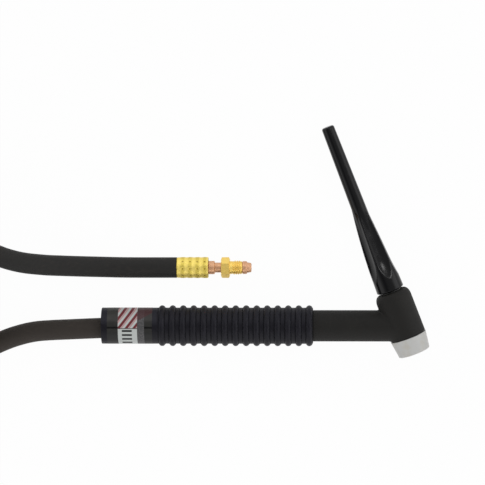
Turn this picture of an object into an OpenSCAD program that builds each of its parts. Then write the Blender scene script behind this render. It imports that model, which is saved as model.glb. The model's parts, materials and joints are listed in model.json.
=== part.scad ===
// Air-cooled TIG welding torch with a long back cap, a ribbed handle and a
// one-piece hose that carries gas and current. Lengths are in millimetres.
// The torch lies on its side: the handle runs along X, towards the head, and
// the head's own axis lies in the XY plane. Z = 0 is the surface under it.

/* [Handle] */
// Length of the handle
handle_len = 148.4; // [130:0.1:170]
// Diameter of the plain part of the handle
handle_d = 25.4; // [24:0.1:30]
// Wall thickness of the handle, round the bore that the hose runs in
handle_wall = 2.3; // [1.8:0.1:2.8]
// Chamfer at both ends of the handle
handle_chamfer = 0.5; // [0.2:0.1:1]
// Number of grip ribs
rib_count = 15; // [5:1:17]
// Distance from rib to rib
rib_pitch = 7.38; // [6:0.01:8]
// Width of a rib where it leaves the handle
rib_w = 4.5; // [3:0.1:5.5]
// Height of a rib above the handle
rib_h = 1.65; // [0.8:0.05:2.2]
// Distance from the handle's front end to the middle of the first rib
rib_inset = 2.6; // [2.3:0.1:6]

/* [Head] */
// Angle between the head's axis and the square to the handle
head_tilt = 20.9; // [10:0.1:25]
// Distance from the handle's front end to the head's axis
neck_reach = 64; // [50:0.5:80]
// Diameter of the rubber neck
neck_d = 22; // [20:0.1:23]
// Length of the neck's spigot inside the handle
spigot_len = 16; // [10:0.5:20]
// Diameter of the rubber barrel round the head
barrel_d = 25.4; // [24:0.1:28]
// Barrel length above the handle's axis
barrel_above = 25.9; // [24:0.1:30]
// Barrel length below the handle's axis
barrel_below = 7.9; // [7:0.1:9.5]
// Axial length of the barrel's rounded shoulder
shoulder_h = 5.8; // [2:0.1:7]
// How far back along the neck the crotch's web reaches
web_reach = 8; // [6:0.5:10]
// Radial depth of the barrel's rounded shoulder
shoulder_w = 3.4; // [1:0.1:4]
// Diameter of the brass head block
block_d = 17; // [16:0.1:18]
// Thickness of the rubber lip over the block's rear face
lip_h = 0.9; // [0.6:0.1:1.5]
// Diameter of the block's nose, which carries the gasket
block_nose_d = 13; // [12:0.1:14]
// Length of the block's nose
block_nose_len = 4.5; // [3:0.1:6]
// Major diameter of the collet body's thread
collet_thread_d = 9.52; // [9:0.01:10]
// Length of the collet body's thread
collet_thread_len = 9; // [6:0.1:9.5]
// Diameter of the gas chamber behind that thread
chamber_d = 8; // [7:0.1:8.6]
// Outer diameter of the copper gas tube
tube_d = 9; // [8:0.1:10]
// Bore of the copper gas tube
tube_bore_d = 6.4; // [5:0.1:7]
// Depth of the gas tube's socket in the block
tube_socket = 3; // [2:0.1:3.5]

/* [Gasket] */
// Height of the cup gasket
gasket_h = 12.2; // [11:0.1:14]
// How much wider than the barrel the gasket is, where they meet
gasket_over = 0.5; // [0:0.1:1]
// How much narrower the gasket is at its nose
gasket_taper = 3.2; // [1:0.1:4]
// Rounding of the gasket's nose edge
gasket_round = 0.8; // [0.4:0.1:1.2]
// Diameter of the nozzle's seat in the gasket
nozzle_seat_d = 17.2; // [15:0.1:18]
// Depth of the nozzle's seat
nozzle_seat_h = 4.5; // [3:0.1:5]
// Diameter of the hole that the collet body passes through
gasket_hole_d = 10.6; // [10.2:0.1:11.5]

/* [Back cap] */
// Length of the back cap
cap_len = 122.8; // [100:0.1:140]
// Diameter of the cap's collar at its base
cap_base_d = 19.5; // [18.5:0.1:21]
// Diameter of the collar's upper edge, where the taper starts
cap_collar_d = 19; // [18:0.1:20]
// Height of the collar
cap_collar_h = 8.5; // [6:0.5:10]
// Height above the base where the taper slows down
cap_waist_z = 61.5; // [50:0.5:75]
// Diameter there
cap_waist_d = 10.4; // [10:0.1:12]
// How far the taper swells past a straight line, in the middle of it
cap_swell = 0.6; // [0:0.05:1]
// Diameter at the tip
cap_tip_d = 8.9; // [8.2:0.1:9.6]
// Rounding of the tip's edge
cap_tip_round = 1.4; // [0.8:0.1:2]
// Bore for the rear of the electrode
cap_bore_d = 5.2; // [3.6:0.1:5.4]
// Thickness of the cap's end wall
cap_end_wall = 4; // [3:0.5:8]
// Gap between the cap's base and the barrel when it is screwed home
cap_gap = 1.4; // [1.2:0.1:2]
// Number of flutes in the taper, as finger grips
flute_count = 5; // [4:1:6]
// Depth of a flute's floor below the collar's edge
flute_depth = 1.8; // [1.2:0.1:2]
// Diameter that the flutes' floors run down to at the taper's end
flute_floor_d = 9.2; // [8.6:0.1:9.8]
// Radius of a flute's hollow
flute_r = 16; // [12:0.5:24]
// Length of the flutes' run-out
flute_run_out = 13; // [8:0.5:16]
// Height above the base where the flutes start
flute_start = 9.6; // [9:0.1:12]
// Turn of the flutes about the cap's axis
flute_turn = -72; // [-90:1:-30]
// Major diameter of the cap's thread
cap_thread_d = 11; // [10:0.1:11.4]
// Length of the cap's thread
cap_thread_len = 10.2; // [8:0.1:10.5]
// Diameter of the shank that the O-ring sits on
cap_shank_d = 9.9; // [9:0.1:9.9]
// Cord diameter of the O-ring
o_ring_cord = 2; // [1.6:0.1:2]
// Diameter of the brass insert inside the cap
insert_d = 12.8; // [12:0.1:14]
// Length of the brass insert inside the cap
insert_len = 12; // [8:0.5:16]

/* [Hose] */
// Outer diameter of the hose
hose_d = 14.5; // [14:0.1:14.6]
// Inner diameter of the hose
hose_bore_d = 7.2; // [7.1:0.1:8]
// Diameter of the copper rope inside the hose
rope_d = 6.4; // [5:0.1:6.8]
// Inner radius of the coil, at the middle of the hose
coil_inner_r = 61; // [59:0.5:62]
// Distance from turn to turn and from layer to layer
coil_step = 15; // [15:0.1:15.4]
// Whole turns in the coil
coil_whole_turns = 7; // [6:1:8]
// Layers of turns, one on the other
coil_layers = 4; // [4:2:4]

/* [Hose fittings] */
// Major diameter of the swivel nut's thread
nut_thread_d = 9.9; // [9.4:0.1:10.2]
// Length of the swivel nut's thread
nut_thread_len = 7.2; // [5:0.1:8]
// Width of the nut across its flats
nut_hex = 12.7; // [11.5:0.1:14]
// Length of the nut's hexagon
nut_hex_len = 6; // [4:0.1:7]
// Length of the plain neck between hexagon and thread
nut_relief_len = 1.6; // [1:0.1:3]
// Diameter of that neck
nut_relief_d = 9; // [8.4:0.1:9.4]
// Room that the nut has to slide along the stem
nut_float = 4.6; // [3:0.1:7]
// Diameter of the stem inside the nut
stem_d = 7; // [6:0.05:7.1]
// Diameter of the stem's sealing collar
collar_d = 9; // [8.4:0.1:9.2]
// Length of the sealing collar
collar_len = 3.1; // [2.5:0.1:5]
// Length of the stem's tapered tip
stem_tip_len = 3.1; // [2:0.1:4]
// Diameter of the stem's tip
stem_tip_d = 6.6; // [5.6:0.1:7]
// Diameter of the stem's stop ring
ring_d = 9.3; // [8.4:0.01:10]
// Length of the stop ring
ring_len = 4.4; // [3:0.1:6]
// Diameter of the stem's tail inside the hose
tail_d = 6.9; // [6.4:0.1:7]
// Gas bore of the stem
stem_bore_d = 4.5; // [3.5:0.1:4.6]
// Outer diameter of the crimped ferrule
ferrule_d = 15; // [14.7:0.1:16]
// Length of the ferrule
ferrule_len = 22.2; // [16:0.1:26]
// Depth of the waists between the ferrule's crimp rings
crimp_depth = 0.35; // [0.1:0.05:0.4]
// Distance from crimp ring to crimp ring
crimp_pitch = 5.15; // [4:0.05:7]
// Diameter of the compressed hose inside the ferrule
crimped_hose_d = 12.7; // [11.5:0.1:13]
// Thickness of the ferrule's end wall
ferrule_wall = 1.5; // [1:0.1:2]
// Room between the brass connector's corners and the handle's bore
connector_room = 1.05; // [0.5:0.05:2]
// Length of the connector's hexagon
connector_hex_len = 12; // [8:0.5:15]
// Diameter of the connector's round end
connector_d = 14; // [12:0.1:16]
// Depth of the gas tube's socket in the connector
connector_socket = 9; // [6:0.5:12]
// Distance from the connector's round end to the neck's spigot
connector_gap = 4; // [2:0.5:8]

/* [Hidden] */
$fn = 64;

// Clearances
slip_fit = 0.05;        // between pieces that are pushed or moulded together
thread_fit = 0.05;      // radial, between a male thread and its bore
swivel_fit = 0.17;      // radial, between the stem and the nut that turns on it
reach = 40;             // how far a cutter runs past the solid that it cuts
collar_step = 0.8;      // radial, from the stem's collar to its tapered tip
ferrule_gap = 0.1;      // between the ferrule and the stem's stop ring
rod_root = 18;          // how far the back cap's slim rod reaches into its taper
first_crimp = 2.4;      // from the ferrule's front to its first crimp ring
hex_bevel = 35;         // angle of the bevel on a hexagon's corners

// Where the torch lies
handle_rear_x = -115;
handle_y = -59;
handle_z = handle_d / 2 + rib_h;
head_x = handle_len + neck_reach;
handle_bore_d = handle_d - 2 * handle_wall;
spigot_d = handle_bore_d - 2 * slip_fit;

// Head, along its own axis from the crossing with the handle's axis
block_top = barrel_above - lip_h;
block_front = -barrel_below - block_nose_len;
collet_thread_end = block_front + collet_thread_len;
gasket_d = barrel_d + gasket_over;
gasket_nose_d = gasket_d - gasket_taper;
cap_base = barrel_above + cap_gap;
cap_thread_front = block_top - cap_thread_len;
o_ring_mean_d = cap_shank_d + 2 * slip_fit + o_ring_cord;
lip_bore_d = o_ring_mean_d + o_ring_cord + 0.6;
o_ring_z = block_top + slip_fit + o_ring_cord / 2;
cap_flange = o_ring_z + o_ring_cord / 2 + slip_fit;

// Hose fitting, along its axis from the back of the stem's collar
nut_len = nut_hex_len + nut_relief_len + nut_thread_len;
nut_bore_d = stem_d + 2 * swivel_fit;
nut_gap = 0.2;
stem_shoulder_d = collar_d - 2 * collar_step;
nut_back = -nut_gap - nut_len;
ring_front = nut_back - nut_float;
ring_back = ring_front - ring_len;
ferrule_front = ring_back - ferrule_gap;
ferrule_back = ferrule_front - ferrule_len;
tail_back = ferrule_back + 0.8;

// Front fitting, screwed into the connector inside the handle
connector_front = handle_len - spigot_len - connector_gap;
seat_len = collar_len + stem_tip_len;
connector_len = nut_thread_len + seat_len + connector_socket + 2;
connector_hex = (handle_bore_d - 2 * connector_room) * cos(30);
connector_back = connector_front - connector_len;
front_nut_x = connector_back + nut_thread_len + nut_gap;
hose_front_x = front_nut_x + ferrule_back;

// Far fitting, at rest on the surface
far_collar_x = -16.1;
far_y = -18.7;
far_z = ferrule_d / 2;
far_hose_x = far_collar_x + ferrule_back;

// Coil of the spare hose
hose_r = hose_d / 2;
coil_centre = [-296, -41];
coil_start_angle = -45;
coil_end_angle = 75;
coil_turns = coil_whole_turns + (360 + coil_start_angle - coil_end_angle) / 360;
layer_turns = coil_turns / coil_layers;
coil_rings_per_turn = 24;
coil_sides = 6;
run_sides = 10;

// Route of the hose, by the middle of it
exit_drop = handle_bore_d / 2 - hose_r - 0.5;
exit_y = handle_y - 0.745 * exit_drop;
exit_z = handle_z - 0.667 * exit_drop;
torch_route = [
    [handle_rear_x, exit_y, exit_z],
    [-127, -61.6, 11.7],
    [-139, -62.3, 10.8],
    [-151, -63, 9.8],
    [-163, -64.2, 8.8],
    [-174, -66.8, 8.1],
    [-184, -70.3, 7.6],
    [-194, -74.9, 7.3],
    [-204, -80.5, hose_r],
    [-214, -87.6, hose_r],
    [-223.5, -95.9, hose_r]
];
far_route = [
    [-255, 39.9, 52.1],
    [-240, 32.1, 51.6],
    [-227, 23.1, 50.3],
    [-214.8, 13.6, 48.1],
    [-202.5, 4.3, 44.7],
    [-189.3, -4, 39.7],
    [-174, -10.6, 32.9],
    [-155.8, -14.5, 24],
    [-142.6, -16, 18],
    [-129.4, -17.1, 13.3],
    [-116, -17.9, 10],
    [-102.5, -18.5, 8.1],
    [-89, far_y, 7.5],
    [-76, far_y, far_z],
    [far_hose_x, far_y, far_z]
];

// Middle of the hose inside the handle, at a share of its way to the fitting.
function inner_route_point(share, over = 0) = [
    handle_rear_x + share * hose_front_x + over,
    handle_y + (exit_y - handle_y) * (1 - share) * (1 - share),
    handle_z + (exit_z - handle_z) * (1 - share) * (1 - share)
];

// ---- Helpers -------------------------------------------------------------

// Stands a shape that was drawn along Z along X instead.
module along_x() {
    rotate([0, 90, 0]) children();
}

// Places a shape in the handle's frame: origin at the middle of its rear end.
module at_handle(x = 0) {
    translate([handle_rear_x + x, handle_y, handle_z]) children();
}

// Places a shape in the head's frame: Z runs out along the back cap.
module at_head() {
    at_handle(head_x) rotate([0, 0, head_tilt]) rotate([-90, 0, 0]) children();
}

// Places a shape drawn along Z on the front or the far fitting's axis.
module at_front_fitting() {
    at_handle(front_nut_x) along_x() children();
}

module at_far_fitting() {
    translate([far_collar_x, far_y, far_z]) along_x() children();
}

// A plain turned piece between two heights.
module turned(d, z0, z1) {
    translate([0, 0, z0]) cylinder(d = d, h = z1 - z0);
}

// A cone between two heights.
module tapered(d0, d1, z0, z1) {
    translate([0, 0, z0]) cylinder(d1 = d0, d2 = d1, h = z1 - z0);
}

// A hexagonal bar with its corners turned off at both ends.
module hex_bar(flats, z0, z1) {
    corners = flats / cos(30);
    face_r = flats / 2 - 0.2;
    bevel = (corners / 2 + 0.1 - face_r) * tan(hex_bevel);
    intersection() {
        translate([0, 0, z0]) rotate(90) cylinder(d = corners, h = z1 - z0, $fn = 6);
        rotate_extrude() polygon([
            [0, z0],
            [face_r, z0],
            [corners / 2 + 0.1, z0 + bevel],
            [corners / 2 + 0.1, z1 - bevel],
            [face_r, z1],
            [0, z1]
        ]);
    }
}

// ---- Swept tubes ---------------------------------------------------------

function unit(v) = v / norm(v);

// Direction of a route at each of its points, with given end directions.
function headings(points, first, last) = [
    for (i = [0:len(points) - 1])
        i == 0 ? first
        : i == len(points) - 1 ? last
        : unit(unit(points[i + 1] - points[i]) + unit(points[i] - points[i - 1]))
];

// One ring of a tube, square to its heading.
function ring_points(centre, heading, radius, sides) =
    let (
        side = unit(cross(heading, [0, 0, 1])),
        up = cross(side, heading)
    )
    [
        for (k = [0:sides - 1])
            centre + radius * (cos(360 * k / sides) * side + sin(360 * k / sides) * up)
    ];

// A closed tube that follows a route.
module swept_tube(points, directions, radius, sides) {
    last = len(points) - 1;
    skin = [for (i = [0:last]) each ring_points(points[i], directions[i], radius, sides)];
    walls = [
        for (i = [0:last - 1], k = [0:sides - 1])
            let (
                a = i * sides + k,
                b = i * sides + (k + 1) % sides
            )
            each [[a, b, b + sides], [a, b + sides, a + sides]]
    ];
    ends = [
        for (k = [1:sides - 2])
            each [[0, k + 1, k], [last * sides, last * sides + k, last * sides + k + 1]]
    ];
    polyhedron(points = skin, faces = concat(walls, ends));
}

// ---- Coil ----------------------------------------------------------------

// Share of one climb that is done after s turns: a half turn about its middle.
function climb(s, middle) =
    let (share = min(1, max(0, (s - middle + 0.25) / 0.5)))
    share * share * (3 - 2 * share);

// Layers climbed after s turns.
function layers_climbed(s, layer = 1) =
    layer == coil_layers ? 0 : climb(s, layer * layer_turns) + layers_climbed(s, layer + 1);

// Middle of the hose after s turns: in on one layer, out on the next.
function coil_point(s) =
    let (
        angle = coil_start_angle - 360 * s,
        r = coil_inner_r + coil_step * abs(s % (2 * layer_turns) - layer_turns)
    )
    [
        coil_centre[0] + r * cos(angle),
        coil_centre[1] + r * sin(angle),
        hose_r + coil_step * layers_climbed(s)
    ];

// Direction of the hose after s turns.
function coil_heading(s) =
    let (h = 0.002)
    unit(coil_point(s + h) - coil_point(s - h));

coil_rings = round(coil_turns * coil_rings_per_turn);
coil_points = [for (i = [0:coil_rings]) coil_point(coil_turns * i / coil_rings)];
coil_start_heading = coil_heading(0);
coil_end_heading = coil_heading(coil_turns);
coil_headings = headings(coil_points, coil_start_heading, coil_end_heading);

// Least gap between rings of the coil that are more than half a turn apart.
coil_gap = min([
    for (i = [0:coil_rings - coil_rings_per_turn / 2 - 1])
        min([
            for (j = [i + coil_rings_per_turn / 2:coil_rings])
                norm(coil_points[j] - coil_points[i])
        ])
]) - hose_d;
echo(least_gap_of_the_coil_to_itself = coil_gap);

// ---- Free and hidden stretches of the hose -------------------------------

exit_heading = [-1, 0, 0];
torch_points = concat(torch_route, [coil_points[0]]);
far_points = concat([coil_points[coil_rings]], far_route);

module hose_run(points, first, last) {
    swept_tube(points, headings(points, first, last), hose_r, run_sides);
}

// ---- Head ----------------------------------------------------------------

// Outline of the rubber barrel, with its rounded rear shoulder.
function barrel_outline(steps) = concat(
    [[0, -barrel_below], [barrel_d / 2, -barrel_below]],
    [
        for (i = [0:steps])
            [
                barrel_d / 2 - shoulder_w * (1 - cos(90 * i / steps)),
                barrel_above - shoulder_h * (1 - sin(90 * i / steps))
            ]
    ],
    [[0, barrel_above]]
);

// Web that fills the crotch between the neck and the barrel's rear half.
module crotch_web() {
    web_back = head_x - barrel_d / 2 - web_reach;
    web_low = -barrel_below + 2.5;
    web_high = barrel_above - 2.2;
    hull() {
        at_handle(web_back) along_x() cylinder(d = neck_d - 0.1, h = 0.2, $fn = 32);
        at_head() translate([-barrel_d / 4, 0, (web_low + web_high) / 2])
            rotate([0, 90, 0]) scale([(web_high - web_low) / 2, neck_d / 2 - 1.5, 1])
                cylinder(r = 1, h = 0.2, $fn = 32);
    }
}

module head_cover() {
    color([0.16, 0.155, 0.15]) difference() {
        union() {
            at_head() rotate_extrude() polygon(barrel_outline(8));
            at_handle(handle_len) along_x() cylinder(d = neck_d, h = neck_reach);
            at_handle(handle_len - spigot_len) along_x() cylinder(d = spigot_d, h = spigot_len + 1);
            crotch_web();
        }
        at_head() turned(block_d + 2 * slip_fit, -barrel_below - reach, block_top + slip_fit);
        at_head() turned(lip_bore_d, 0, barrel_above + reach);
        at_head() turned(2 * reach, -barrel_below - reach, -barrel_below);
        at_handle(handle_len - spigot_len - 1) along_x()
            cylinder(d = tube_d + 2 * slip_fit, h = spigot_len + neck_reach + 1);
    }
}

module head_block() {
    socket_x = head_x - block_d / 2 + tube_socket;
    color([0.8, 0.65, 0.3]) difference() {
        at_head() union() {
            turned(block_d, -barrel_below, block_top);
            turned(block_nose_d, block_front, 0);
        }
        at_head() turned(collet_thread_d, block_front - 1, collet_thread_end);
        at_head() turned(chamber_d, block_front - 1, block_top);
        at_head() turned(cap_thread_d + 2 * thread_fit, cap_thread_front - 0.6, block_top + 1);
        at_handle(socket_x - reach) along_x() cylinder(d = tube_d + 2 * slip_fit, h = reach);
        at_handle(socket_x - 1) along_x() cylinder(d = tube_bore_d, h = head_x - socket_x + 1);
    }
}

module gas_tube() {
    tube_back = connector_front - connector_socket + slip_fit;
    tube_front = head_x - block_d / 2 + tube_socket - slip_fit;
    color([0.78, 0.45, 0.3]) at_handle(tube_back) along_x() difference() {
        cylinder(d = tube_d, h = tube_front - tube_back);
        translate([0, 0, -1]) cylinder(d = tube_bore_d, h = tube_front - tube_back + 2);
    }
}

module tube_connector() {
    seat_back = nut_thread_len + nut_gap + collar_len;
    seat_front = seat_back + stem_tip_len + slip_fit;
    color([0.85, 0.7, 0.32]) at_handle(connector_back) along_x() difference() {
        union() {
            hex_bar(connector_hex, 0, connector_hex_len);
            turned(connector_d, 1, connector_len);
        }
        turned(nut_thread_d + 2 * thread_fit, -1, seat_back + slip_fit);
        tapered(stem_shoulder_d + 2 * slip_fit, stem_tip_d + 2 * slip_fit, seat_back, seat_front);
        turned(stem_bore_d, 0, connector_len);
        turned(tube_d + 2 * slip_fit, connector_len - connector_socket, connector_len + 1);
    }
}

module cup_gasket() {
    z_top = -barrel_below;
    z_nose = -barrel_below - gasket_h;
    color([0.86, 0.86, 0.84]) at_head() difference() {
        rotate_extrude() polygon([
            [0, z_top],
            [gasket_d / 2, z_top],
            [gasket_nose_d / 2, z_nose + gasket_round],
            [gasket_nose_d / 2 - 0.3 * gasket_round, z_nose + 0.3 * gasket_round],
            [gasket_nose_d / 2 - gasket_round, z_nose],
            [0, z_nose]
        ]);
        turned(block_nose_d + 2 * slip_fit, block_front - slip_fit, z_top + 1);
        turned(gasket_hole_d, z_nose - 1, z_top);
        turned(nozzle_seat_d, z_nose - 1, z_nose + nozzle_seat_h);
    }
}

// ---- Back cap ------------------------------------------------------------

// Radius of the swelling taper at a height above the cap's base.
function taper_r(h) =
    let (u = (h - cap_collar_h) / (cap_waist_z - cap_collar_h))
    cap_collar_d / 2 + (cap_waist_d - cap_collar_d) / 2 * u + 4 * cap_swell * u * (1 - u);

// Outline of the cap's collar and taper.
function cap_taper_outline(steps) = concat(
    [[0, 0], [cap_base_d / 2 - 0.7, 0], [cap_base_d / 2, 0.7]],
    [
        for (i = [0:steps])
            let (h = cap_collar_h + (cap_waist_z - cap_collar_h) * i / steps)
            [taper_r(h), h]
    ],
    [[0, cap_waist_z]]
);

// Radius of the slim rod at a height above the cap's base.
function rod_r(h) =
    cap_waist_d / 2 + (cap_tip_d - cap_waist_d) / 2 * (h - cap_waist_z) / (cap_len - cap_waist_z);

// Outline of the slim rod, which starts inside the taper and has a rounded tip.
function cap_rod_outline(steps) =
    let (rod_start = cap_waist_z - rod_root)
    concat(
        [[0, rod_start], [rod_r(rod_start), rod_start]],
        [
            for (i = [0:steps])
                [
                    cap_tip_d / 2 - cap_tip_round * (1 - cos(90 * i / steps)),
                    cap_len - cap_tip_round * (1 - sin(90 * i / steps))
                ]
        ],
        [[0, cap_len]]
    );

// A round bar with a long domed end below the origin.
module domed_bar(r, dome, length) {
    rotate_extrude($fn = 96) intersection() {
        union() {
            scale([r, dome]) circle(r = 1);
            square([r, length]);
        }
        translate([0, -dome]) square([r, length + dome]);
    }
}

// Cutter for one flute: its floor runs down the taper to the slim rod, and its
// domed end makes the flute run out above the collar.
module flute() {
    floor_low = cap_collar_d / 2 - flute_depth;
    slope = (floor_low - flute_floor_d / 2) / (cap_waist_z - cap_collar_h);
    dome = flute_run_out * sqrt(flute_r / (2 * flute_depth));
    // The dome crosses the taper at the flute's start.
    rise = sqrt(1 - pow(1 - (taper_r(flute_start) - floor_low) / flute_r, 2)) * dome;
    z = flute_start + rise;
    r = floor_low - slope * (z - cap_collar_h);
    translate([r + flute_r, 0, z]) rotate([0, -atan(slope), 0])
        domed_bar(flute_r, dome, cap_waist_z - z + 4);
}

// Repeats a cutter for every flute.
module every_flute() {
    for (i = [0:flute_count - 1])
        rotate(flute_turn + 360 * i / flute_count) children();
}

module back_cap() {
    color([0.09, 0.09, 0.095]) at_head() translate([0, 0, cap_base]) difference() {
        union() {
            difference() {
                rotate_extrude() polygon(cap_taper_outline(12));
                every_flute() flute();
            }
            rotate_extrude() polygon(cap_rod_outline(5));
        }
        turned(insert_d + 2 * slip_fit, -1, insert_len + slip_fit);
        turned(cap_bore_d, 0, cap_len - cap_end_wall);
    }
}

module back_cap_insert() {
    mouth_d = cap_bore_d + 2;
    color([0.8, 0.65, 0.3]) at_head() difference() {
        union() {
            turned(cap_thread_d, cap_thread_front, block_top);
            turned(cap_shank_d, block_top - 0.5, cap_flange + 0.1);
            turned(insert_d, cap_flange, cap_base + insert_len);
        }
        turned(cap_bore_d, cap_thread_front - 1, cap_base + insert_len + 1);
        tapered(mouth_d, cap_bore_d, cap_thread_front - 0.01, cap_thread_front + 2);
    }
}

module back_cap_o_ring() {
    color([0.07, 0.07, 0.07]) at_head() translate([0, 0, o_ring_z])
        rotate_extrude() translate([o_ring_mean_d / 2, 0]) circle(d = o_ring_cord);
}

// ---- Handle --------------------------------------------------------------

module handle_section() {
    r = handle_d / 2;
    rib_r = (rib_w * rib_w / 4 + rib_h * rib_h) / (2 * rib_h);
    polygon([
        [0, 0],
        [r - handle_chamfer, 0],
        [r, handle_chamfer],
        [r, handle_len - handle_chamfer],
        [r - handle_chamfer, handle_len],
        [0, handle_len]
    ]);
    for (i = [0:rib_count - 1])
        translate([r + rib_h - rib_r, handle_len - rib_inset - i * rib_pitch])
            circle(r = rib_r, $fn = 48);
}

module handle_shell() {
    color([0.14, 0.14, 0.15]) at_handle() along_x() rotate_extrude() difference() {
        intersection() {
            handle_section();
            square([handle_d, handle_len]);
        }
        translate([-1, -1]) square([handle_bore_d / 2 + 1, handle_len + 2]);
    }
}

// ---- Hose fittings -------------------------------------------------------

module swivel_nut() {
    hex_front = nut_back + nut_hex_len;
    thread_back = hex_front + nut_relief_len;
    thread_chamfer = 0.5;
    color([0.85, 0.7, 0.32]) difference() {
        union() {
            hex_bar(nut_hex, nut_back, hex_front);
            turned(nut_relief_d, hex_front - 1, thread_back + 1);
            turned(nut_thread_d, thread_back, -nut_gap - thread_chamfer);
            tapered(nut_thread_d, nut_thread_d - 2 * thread_chamfer, -nut_gap - thread_chamfer, -nut_gap);
        }
        turned(nut_bore_d, nut_back - 1, 1);
    }
}

module swivel_stem() {
    color([0.82, 0.5, 0.36]) difference() {
        union() {
            turned(tail_d, tail_back, ring_back);
            turned(ring_d, ring_back, ring_front);
            turned(stem_d, ring_front - 1, 1);
            turned(collar_d, 0, collar_len);
            tapered(stem_shoulder_d, stem_tip_d, collar_len - 0.01, collar_len + stem_tip_len);
        }
        turned(stem_bore_d, tail_back - 1, collar_len + stem_tip_len + 1);
    }
}

// Outline of the ferrule: crimp rings in a wave, and a rounded front edge.
function ferrule_outline(steps) = concat(
    [[0, ferrule_back]],
    [
        for (i = [0:steps])
            let (
                z = ferrule_back + i * (ferrule_len - 0.9) / steps,
                phase = 360 * (ferrule_front - first_crimp - z) / crimp_pitch
            )
            [ferrule_d / 2 - crimp_depth * (1 - cos(phase)) / 2, z]
    ],
    [[ferrule_d / 2 - 1.4, ferrule_front], [0, ferrule_front]]
);

module crimped_ferrule() {
    color([0.85, 0.74, 0.38]) difference() {
        rotate_extrude() polygon(ferrule_outline(32));
        turned(crimped_hose_d + 2 * slip_fit, ferrule_back - 1, ferrule_front - ferrule_wall);
        turned(tail_d + 2 * slip_fit, ferrule_back, ferrule_front + 1);
    }
}

// The hose's end, squeezed between the ferrule and the stem's tail.
module squeezed_hose_end() {
    turned(crimped_hose_d, ferrule_back - 1, ferrule_front - ferrule_wall - slip_fit);
}

// The room for the stem's tail in that end.
module tail_room() {
    turned(tail_d + 2 * slip_fit, ferrule_back, ferrule_front);
}

// The copper rope's end, soldered into the stem's tail.
module rope_end() {
    rope_end_len = 14;
    color([0.75, 0.42, 0.28])
        turned(stem_bore_d - 2 * slip_fit, ferrule_back + 0.2, ferrule_back + rope_end_len);
}

module front_nut() {
    at_front_fitting() swivel_nut();
}

module front_stem() {
    at_front_fitting() swivel_stem();
}

module front_ferrule() {
    at_front_fitting() crimped_ferrule();
}

module front_conductor() {
    rope = [
        inner_route_point(0, 0.3),
        for (i = [1:3]) inner_route_point(i / 4),
        inner_route_point(1, 0.6)
    ];
    at_front_fitting() rope_end();
    color([0.75, 0.42, 0.28])
        swept_tube(rope, headings(rope, -exit_heading, [1, 0, 0]), rope_d / 2, 8);
}

module hose_in_handle() {
    outside = [for (i = [0:4]) inner_route_point(i / 4)];
    bore = [
        inner_route_point(0, -1),
        for (i = [1:3]) inner_route_point(i / 4),
        inner_route_point(1, 0.7)
    ];
    color([0.19, 0.185, 0.18]) difference() {
        union() {
            swept_tube(outside, headings(outside, -exit_heading, [1, 0, 0]), hose_r, run_sides);
            at_front_fitting() squeezed_hose_end();
        }
        swept_tube(bore, headings(bore, -exit_heading, [1, 0, 0]), hose_bore_d / 2, run_sides);
        at_front_fitting() tail_room();
    }
}

module hose_torch_run() {
    color([0.19, 0.185, 0.18]) hose_run(torch_points, exit_heading, coil_start_heading);
}

module hose_coil() {
    color([0.19, 0.185, 0.18]) swept_tube(coil_points, coil_headings, hose_r, coil_sides);
}

module hose_far_run() {
    color([0.19, 0.185, 0.18]) difference() {
        union() {
            hose_run(far_points, coil_end_heading, [1, 0, 0]);
            at_far_fitting() squeezed_hose_end();
        }
        at_far_fitting() tail_room();
    }
}

module far_ferrule() {
    at_far_fitting() crimped_ferrule();
}

module far_stem() {
    at_far_fitting() swivel_stem();
}

module far_nut() {
    at_far_fitting() swivel_nut();
}

module far_conductor() {
    at_far_fitting() rope_end();
}

// ---- Every piece ---------------------------------------------------------

head_cover();
head_block();
gas_tube();
tube_connector();
cup_gasket();
back_cap();
back_cap_insert();
back_cap_o_ring();
handle_shell();
front_nut();
front_stem();
front_ferrule();
front_conductor();
hose_in_handle();
hose_torch_run();
hose_coil();
hose_far_run();
far_ferrule();
far_stem();
far_nut();
far_conductor();
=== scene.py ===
"""Hose, moulded and turned pieces, finishes and studio of a TIG torch."""

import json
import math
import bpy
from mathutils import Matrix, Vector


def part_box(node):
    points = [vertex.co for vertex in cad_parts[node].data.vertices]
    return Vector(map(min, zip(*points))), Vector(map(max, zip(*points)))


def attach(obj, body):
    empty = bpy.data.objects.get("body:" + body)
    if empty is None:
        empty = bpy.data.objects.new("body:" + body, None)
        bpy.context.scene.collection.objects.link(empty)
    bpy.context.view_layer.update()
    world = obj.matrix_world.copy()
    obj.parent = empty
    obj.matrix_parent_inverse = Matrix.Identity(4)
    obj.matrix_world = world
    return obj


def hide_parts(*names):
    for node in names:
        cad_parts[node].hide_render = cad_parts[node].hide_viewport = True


bl_info = {
    "name": "TIG torch looks",
    "version": (1, 0, 0),
    "blender": (4, 5, 0),
    "location": "3D View > Sidebar > TIG torch",
    "description": "Dresses the frame of a TIG torch and sets up its studio",
    "category": "Object",
}

import bmesh
import bpy
from bpy.props import FloatProperty, FloatVectorProperty, IntProperty, PointerProperty
from bpy.types import Operator, Panel, PropertyGroup
from mathutils import Matrix, Vector

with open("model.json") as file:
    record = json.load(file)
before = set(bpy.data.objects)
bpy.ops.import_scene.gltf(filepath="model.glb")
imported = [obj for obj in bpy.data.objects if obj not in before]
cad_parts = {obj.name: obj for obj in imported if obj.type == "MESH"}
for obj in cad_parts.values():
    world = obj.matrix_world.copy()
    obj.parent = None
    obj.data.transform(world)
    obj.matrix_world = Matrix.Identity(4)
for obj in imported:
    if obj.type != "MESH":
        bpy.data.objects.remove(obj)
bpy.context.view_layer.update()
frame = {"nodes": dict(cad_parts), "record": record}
MM = 0.001
TURN = 2 * math.pi


# ---- Places, read from the frame ----------------------------------------------


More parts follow.
